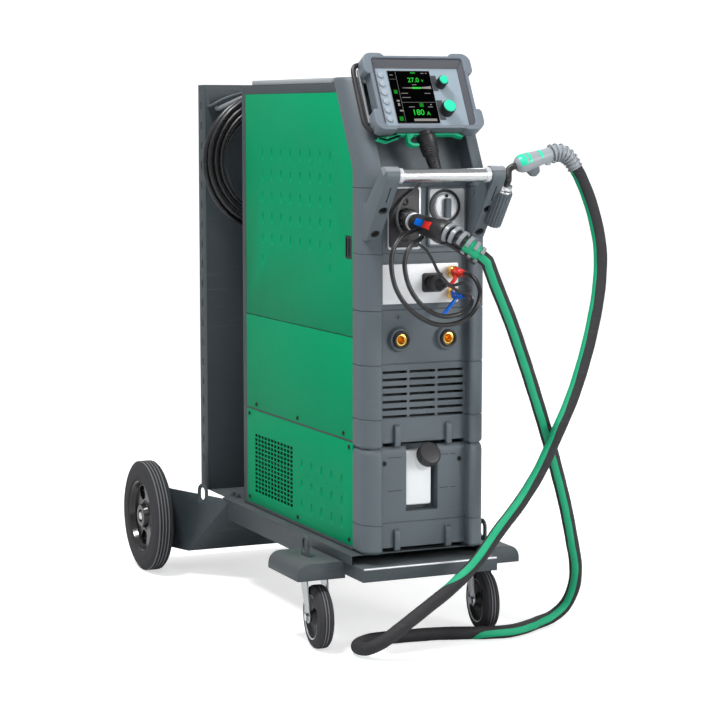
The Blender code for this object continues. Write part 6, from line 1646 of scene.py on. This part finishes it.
class WELDER_OT_control_box(PieceMaker, bpy.types.Operator):
    """Make the control box: bumper frame, grab bars, screen, buttons and knobs"""
    bl_idname = "welder.control_box"
    bl_label = "Control box"

    def make(self):
        case = lofted([box_ring(2.2, -1.5), box_ring(0.8, -1), box_ring(0, 0.6), box_ring(0, 24), box_ring(3, 28),
                       box_ring(12, 44)])
        recess = lofted([[(x, y, z) for x, z in rounded_outline((-96 - g, -72.5 - g), (96 + g, 71 + g), 5 + g, 4)]
                         for y, g in ((-6, 1.2), (-0.6, 1.0), (0.5, 0), (10, 0))])
        mount = block((-45, 40, -24), (45, 92, 30))
        fit("box_shell", joined(carved(case, recess), mount), "grey_moulded_plastic", place=PANEL,
            stands_for="panel_case", smooth=30)
        guards = joined(*[corner_guard(across, up) for across in (-1, 1) for up in (-1, 1)])
        fit("box_corner_guards", guards, "bumper_grey", place=PANEL, smooth=40)
        rim = carved(rounded(prism(rounded_outline((-103, -78), (103, 75.5), 12), "Y", -2.6, 1.5), 1.0),
                     prism(rounded_outline((-96.5, -73), (96.5, 71), 6), "Y", -8, 8))
        fit("box_rim", rim, "bumper_grey", place=PANEL)
        top = prism([(95.5, 71), (-95.5, 71), (-93, 53), (93, 53)], "Y", 0, 9.4)
        for vert in top.verts:
            if vert.co.y < 5 and vert.co.z < 60:
                vert.co.z += 15
        right = prism([(96, 72), (96, -72), (86, -72), (86, 72)], "Y", 0, 9.4)
        for vert in right.verts:
            if vert.co.y < 5 and vert.co.x < 90:
                vert.co.x += 9
        left = block((-96, 3, -72), (-90, 9.4, 72))
        fit("box_recess_lining", joined(top, right, left), "key_field_grey", place=PANEL)
        wells = bmesh.new()
        for z in KEY_HEIGHTS:
            turned([(0, -10), (6.3, -10), (6.3, 5), (0, 5)], 28, (KEY_ACROSS, 9.6, z), FORWARD, bm=wells)
        plate = prism(rounded_outline((-94.5, -72), (94.5, 71), 4), "Y", 9.0, 10.4)
        fit("box_face", carved(rounded(plate, 0.4), wells), "panel_face_grey", place=PANEL)
        self.gland()
        self.bars()
        self.screen()
        self.keys()

    def gland(self):
        """The lead's ribbed strain relief below the case."""
        start = GLAND_ROOT + Vector((-7, 0, 3))
        aim = (GLAND_ROOT + GLAND_AIM * 78 - start).normalized()
        cone = turned([(0, -4), (15.5, -4), (15.5, 6), (18.4, 8), (18.4, 20), (17, 23), (15.6, 44), (13.2, 47),
                       (11.2, 70), (10, 78), (7, 80), (0, 80)], 40, start, aim)
        rings = grown("path", shape=ring_shape(16.6, 1.2, 36, 8), count=5, first_size=1.0, last_size=0.95,
                      base=path_mesh([start + aim * d for d in (25, 43)]))
        lower = grown("path", shape=ring_shape(12.8, 1.0, 36, 8), count=6, first_size=1.0, last_size=0.86,
                      base=path_mesh([start + aim * d for d in (49, 74)]))
        fit("box_gland", joined(cone, rings, lower), "black_moulded_plastic", place=PANEL, smooth=45)

    def bars(self):
        """Chrome grab bars between the corner guards, with a rubber outer guard on each side."""
        chrome, dark = bmesh.new(), bmesh.new()
        for side, out, thick in ((-1, 125, 5.0), (1, 111, 3.8)):
            swept([(side * (out - 9.5), 22, 56), (side * (out - 9.5), 22, -56)], 3.2, 16, bm=chrome)
            route = [(out - 22, 66), (out - 10, 68), (out - 2, 60), (out, 46), (out + 0.5, 0), (out, -46),
                     (out - 2, -60), (out - 10, -70), (out - 22, -68)]
            swept(smooth_route([(side * x, 24, z) for x, z in route], 5), thick, 18, bm=dark)
        fit("grab_bars", chrome, "polished_chrome", place=PANEL, smooth=50)
        fit("grab_bar_guards", dark, "black_moulded_plastic", place=PANEL, smooth=50)
        strip = rounded(prism([(-66, -79.5), (64, -79.5), (74, -86), (66, -86), (56, -82), (-58, -82), (-88, -92),
                               (-106, -88), (-104, -90.5), (-88, -95), (-60, -86)], "Y", 18, 30), 0.4)
        hook = [(-46, -80), (-30, -80), (-32, -86), (-40, -92), (-40, -98), (-34, -101), (-24, -101), (-24, -106),
                (-38, -106), (-46, -101)]
        fit("hanger_strip", joined(strip, rounded(prism(hook, "Y", 16, 28), 1)), "hanger_green", place=PANEL)

    def screen(self):
        """The glass and what it shows: two plain readings with bars and small marks."""
        low, high = (-63, -63), (25.5, 48)
        edge = rounded_outline((low[0] - 1, low[1] - 1), (high[0] + 1, high[1] + 1), 1.5)
        fit("screen_bezel", rounded(prism(edge, "Y", 7.9, 9.4), 0.3), "silver_grey_plastic", place=PANEL)
        fit("screen_pane", prism(rounded_outline(low, high, 1), "Y", 7.3, 8.6), "screen_glass", place=PANEL)
        y = 7.2
        lit = joined(plain_text("27.0", 14, (-12, y, 28)), plain_text("V", 7, (7, y, 26.5)),
                     plain_text("180", 17, (-16, y, -41)), plain_text("A", 11, (5, y, -43)))
        block((-17, y - 0.1, 9.8), (0, y + 0.2, 13.2), lit)
        fit("screen_figures", lit, "lit_figures", place=PANEL)
        dim = bmesh.new()
        for x, z, w, h in ((-54, 3, 7, 8), (-6, -25, 8, 8), (-54, -54, 8, 9), (-10, 44, 10, 4)):
            block((x - w / 2, y - 0.1, z - h / 2), (x + w / 2, y + 0.2, z + h / 2), dim)
        fit("screen_dim_marks", dim, "dim_figures", place=PANEL)
        marks = bmesh.new()
        prism([(0, 10.4), (22, 9.6), (22, 15.4), (0, 12.8)], "Y", y - 0.1, y + 0.2, bm=marks)
        prism([(-38, 11.2), (-17, 10.4), (-17, 12.6), (-38, 11.8)], "Y", y - 0.1, y + 0.2, bm=marks)
        block((-28, y - 0.1, -59), (20, y + 0.2, -54), marks)
        for a, b in (((-46.6, -60), (-46.2, 46)), ((-61, 30), (-48, 30.3)), ((-46, -19.4), (24, -19))):
            block((a[0], y - 0.1, a[1]), (b[0], y + 0.2, b[1]), marks)
        for x, z, w, h in ((-56, 39, 7, 1.2), (-53, -16, 6, 3.4), (-53, -24, 4, 6), (-50, -37, 8, 3),
                           (10, 43, 6, 1.2), (18, 43, 4, 1.2), (-36, 0, 14, 1.0), (12, 0, 12, 1.0),
                           (-34, -9, 18, 1.0), (-27, -29, 12, 1.2), (12, -29, 10, 1.2), (14, -24, 3, 2),
                           (-12, 18.4, 9, 1.0)):
            block((x - w / 2, y - 0.1, z - h / 2), (x + w / 2, y + 0.2, z + h / 2), marks)
        fit("screen_marks", marks, "lit_marks", place=PANEL)

    def keys(self):
        """Six round keys and two knobs, each on its own body."""
        for k, z in enumerate(KEY_HEIGHTS):
            key = turned([(0, 0), (6, 0), (6, 4.6), (5.2, 6), (3.4, 6.7), (0, 6.9)], 36, (KEY_ACROSS, 12.5, z),
                         FORWARD)
            node = f"panel_button_{k + 1}"
            fit(f"key_cap_{k + 1}", key, "white_buttons", node, stands_for=node, place=PANEL)
        for word, radius, up, field in (("small", 10.0, 20.5, ((27, 6), (38, 39))),
                                        ("large", 13.5, -35.5, ((27.6, -56), (40, -14)))):
            node, at = f"panel_knob_{word}", (44, 9.7, up)
            turn = Matrix.Translation(at) @ Matrix.Rotation(math.pi / 2, 4, "X")
            body = turned([(0, 0), (radius + 0.9, 0), (radius + 0.9, 2.6), (radius, 4), (radius - 0.8, 18),
                           (radius - 1.6, 19.6), (0, 19.6)], 48)
            rib = prism(arc((radius - 0.5, 0), 0.8, 0, 315, 7), "Z", 4.4, 18.4)
            knurl = grown("round", shape=rib, count=24)
            fit(f"knob_{word}_skirt", moved(joined(body, knurl), turn), "black_moulded_plastic", node,
                stands_for=node, place=PANEL)
            cap = turned([(0, 19), (radius - 1.4, 19), (radius - 1.2, 20.6), (radius - 2.4, 21.8), (0, 22)], 48)
            fit(f"knob_{word}_cap", moved(cap, turn), "mint_plastic", node, place=PANEL)
            patch = prism(rounded_outline(field[0], field[1], 1), "Y", 8.6, 9.2)
            fit(f"knob_{word}_field", patch, "key_field_grey", place=PANEL)


# ---------------------------------------------------------------- wire bay
class WELDER_OT_feeder(PieceMaker, bpy.types.Operator):
    """Make the four-roll wire feeder"""
    bl_idname = "welder.feeder"
    bl_label = "Wire feeder"

    def make(self):
        fit("feeder_plate", rounded(merged_copy("feed_plate"), 0.6), "brushed_aluminium", stands_for="feed_plate")
        fit("feeder_arm", rounded(merged_copy("pressure_arm"), 0.6), "zinc_plating", "pressure_arm",
            stands_for="pressure_arm")
        for node in ("drive_roll_front", "drive_roll_rear", "pressure_roll_front", "pressure_roll_rear"):
            fit(f"{node}_steel", merged_copy(node), "zinc_plating", node, stands_for=node)
        knob = turned([(0, 0), (9, 0), (9, 3), (8, 4), (8, 24), (6.4, 28), (0, 28)], 32, (-57, 108, 866), (0, 0, 1))
        rib = prism(arc((7.9, 0), 0.7, 0, 315, 7), "Z", 5, 23)
        knurl = moved(grown("round", shape=rib, count=20), Matrix.Translation((-57, 108, 866)))
        fit("tension_knob", joined(knob, knurl), "red_plastic", "pressure_arm")
        bolt = socket_screw(4, 3, (-1, 0, 0))
        fit("feeder_plate_screws", grown("points", shape=bolt, base=spots(
            [(-22, 96, 802), (-22, 204, 802), (-22, 204, 874), (-22, 96, 874)])), "zinc_plating")


class WELDER_OT_spool(PieceMaker, bpy.types.Operator):
    """Make the wire spool: flanges with openings and the wound wire"""
    bl_idname = "welder.spool"
    bl_label = "Wire spool"

    def make(self):
        start = (-18, 440, 886)
        turn = Matrix.Translation(start) @ Matrix.Rotation(-math.pi / 2, 4, "Y")
        core = [(25.5, 0), (150, 0), (150, 4), (148.6, 5), (60, 5), (58, 7), (58, 91), (60, 93), (148.6, 93),
                (150, 94), (150, 98), (62, 98), (58, 95), (56, 80), (25.5, 80)]
        window = prism([(70, -12), (80, -24), (112, -32), (120, -24), (122, 0), (120, 24), (112, 32), (80, 24),
                        (70, 12)], "Z", 90.5, 110)
        windows = grown("round", shape=rounded(window, 2.5), count=5)
        body = carved(turned(core, 96, closed=True), windows)
        fit("spool_body", moved(body, turn), "spool_plastic", "wire_spool", stands_for="wire_spool")
        wound = [(57.6, 5.2)] + [(127.4 if k % 2 else 128.3, 5.2 + k * 0.9) for k in range(98)] + [(57.6, 92.8)]
        fit("spool_winding", moved(turned(wound, 96, closed=True), turn), "copper_coated_wire", "wire_spool",
            smooth=70)
        nut = turned([(0, 108), (24, 108), (25, 109), (25, 114), (20, 118), (0, 118)], 40, (-10, 440, 886),
                     (-1, 0, 0))
        fit("spool_brake_cap", nut, "black_moulded_plastic")


# ---------------------------------------------------------------- add-on
OPERATORS = (
    WELDER_OT_stage, WELDER_OT_cords, WELDER_OT_cart, WELDER_OT_column, WELDER_OT_wheels, WELDER_OT_casters,
    WELDER_OT_housing, WELDER_OT_door, WELDER_OT_cooler, WELDER_OT_fronts, WELDER_OT_sockets, WELDER_OT_switch,
    WELDER_OT_tank, WELDER_OT_handle, WELDER_OT_torch, WELDER_OT_torch_plug, WELDER_OT_couplings,
    WELDER_OT_control_box, WELDER_OT_feeder, WELDER_OT_spool)


class WELDER_PT_pieces(bpy.types.Panel):
    """Lists the pieces of the welder"""
    bl_idname = "WELDER_PT_pieces"
    bl_label = "Welder"
    bl_space_type = "VIEW_3D"
    bl_region_type = "UI"
    bl_category = "Welder"

    def draw(self, context):
        for group in (context.scene.welder_sizes, context.scene.welder_colours):
            column = self.layout.column()
            for key in group.__annotations__:
                column.prop(group, key)
        for operator in OPERATORS:
            self.layout.operator(operator.bl_idname)


CLASSES = (WelderSizes, WelderColours, *OPERATORS, WELDER_PT_pieces)


def register():
    for cls in CLASSES:
        bpy.utils.register_class(cls)
    bpy.types.Scene.welder_sizes = PointerProperty(type=WelderSizes)
    bpy.types.Scene.welder_colours = PointerProperty(type=WelderColours)


def unregister():
    del bpy.types.Scene.welder_colours
    del bpy.types.Scene.welder_sizes
    for cls in reversed(CLASSES):
        bpy.utils.unregister_class(cls)


def main():
    register()
    for operator in OPERATORS:
        family, name = operator.bl_idname.split(".")
        getattr(getattr(bpy.ops, family), name)()


if __name__ == "__main__":
    main()
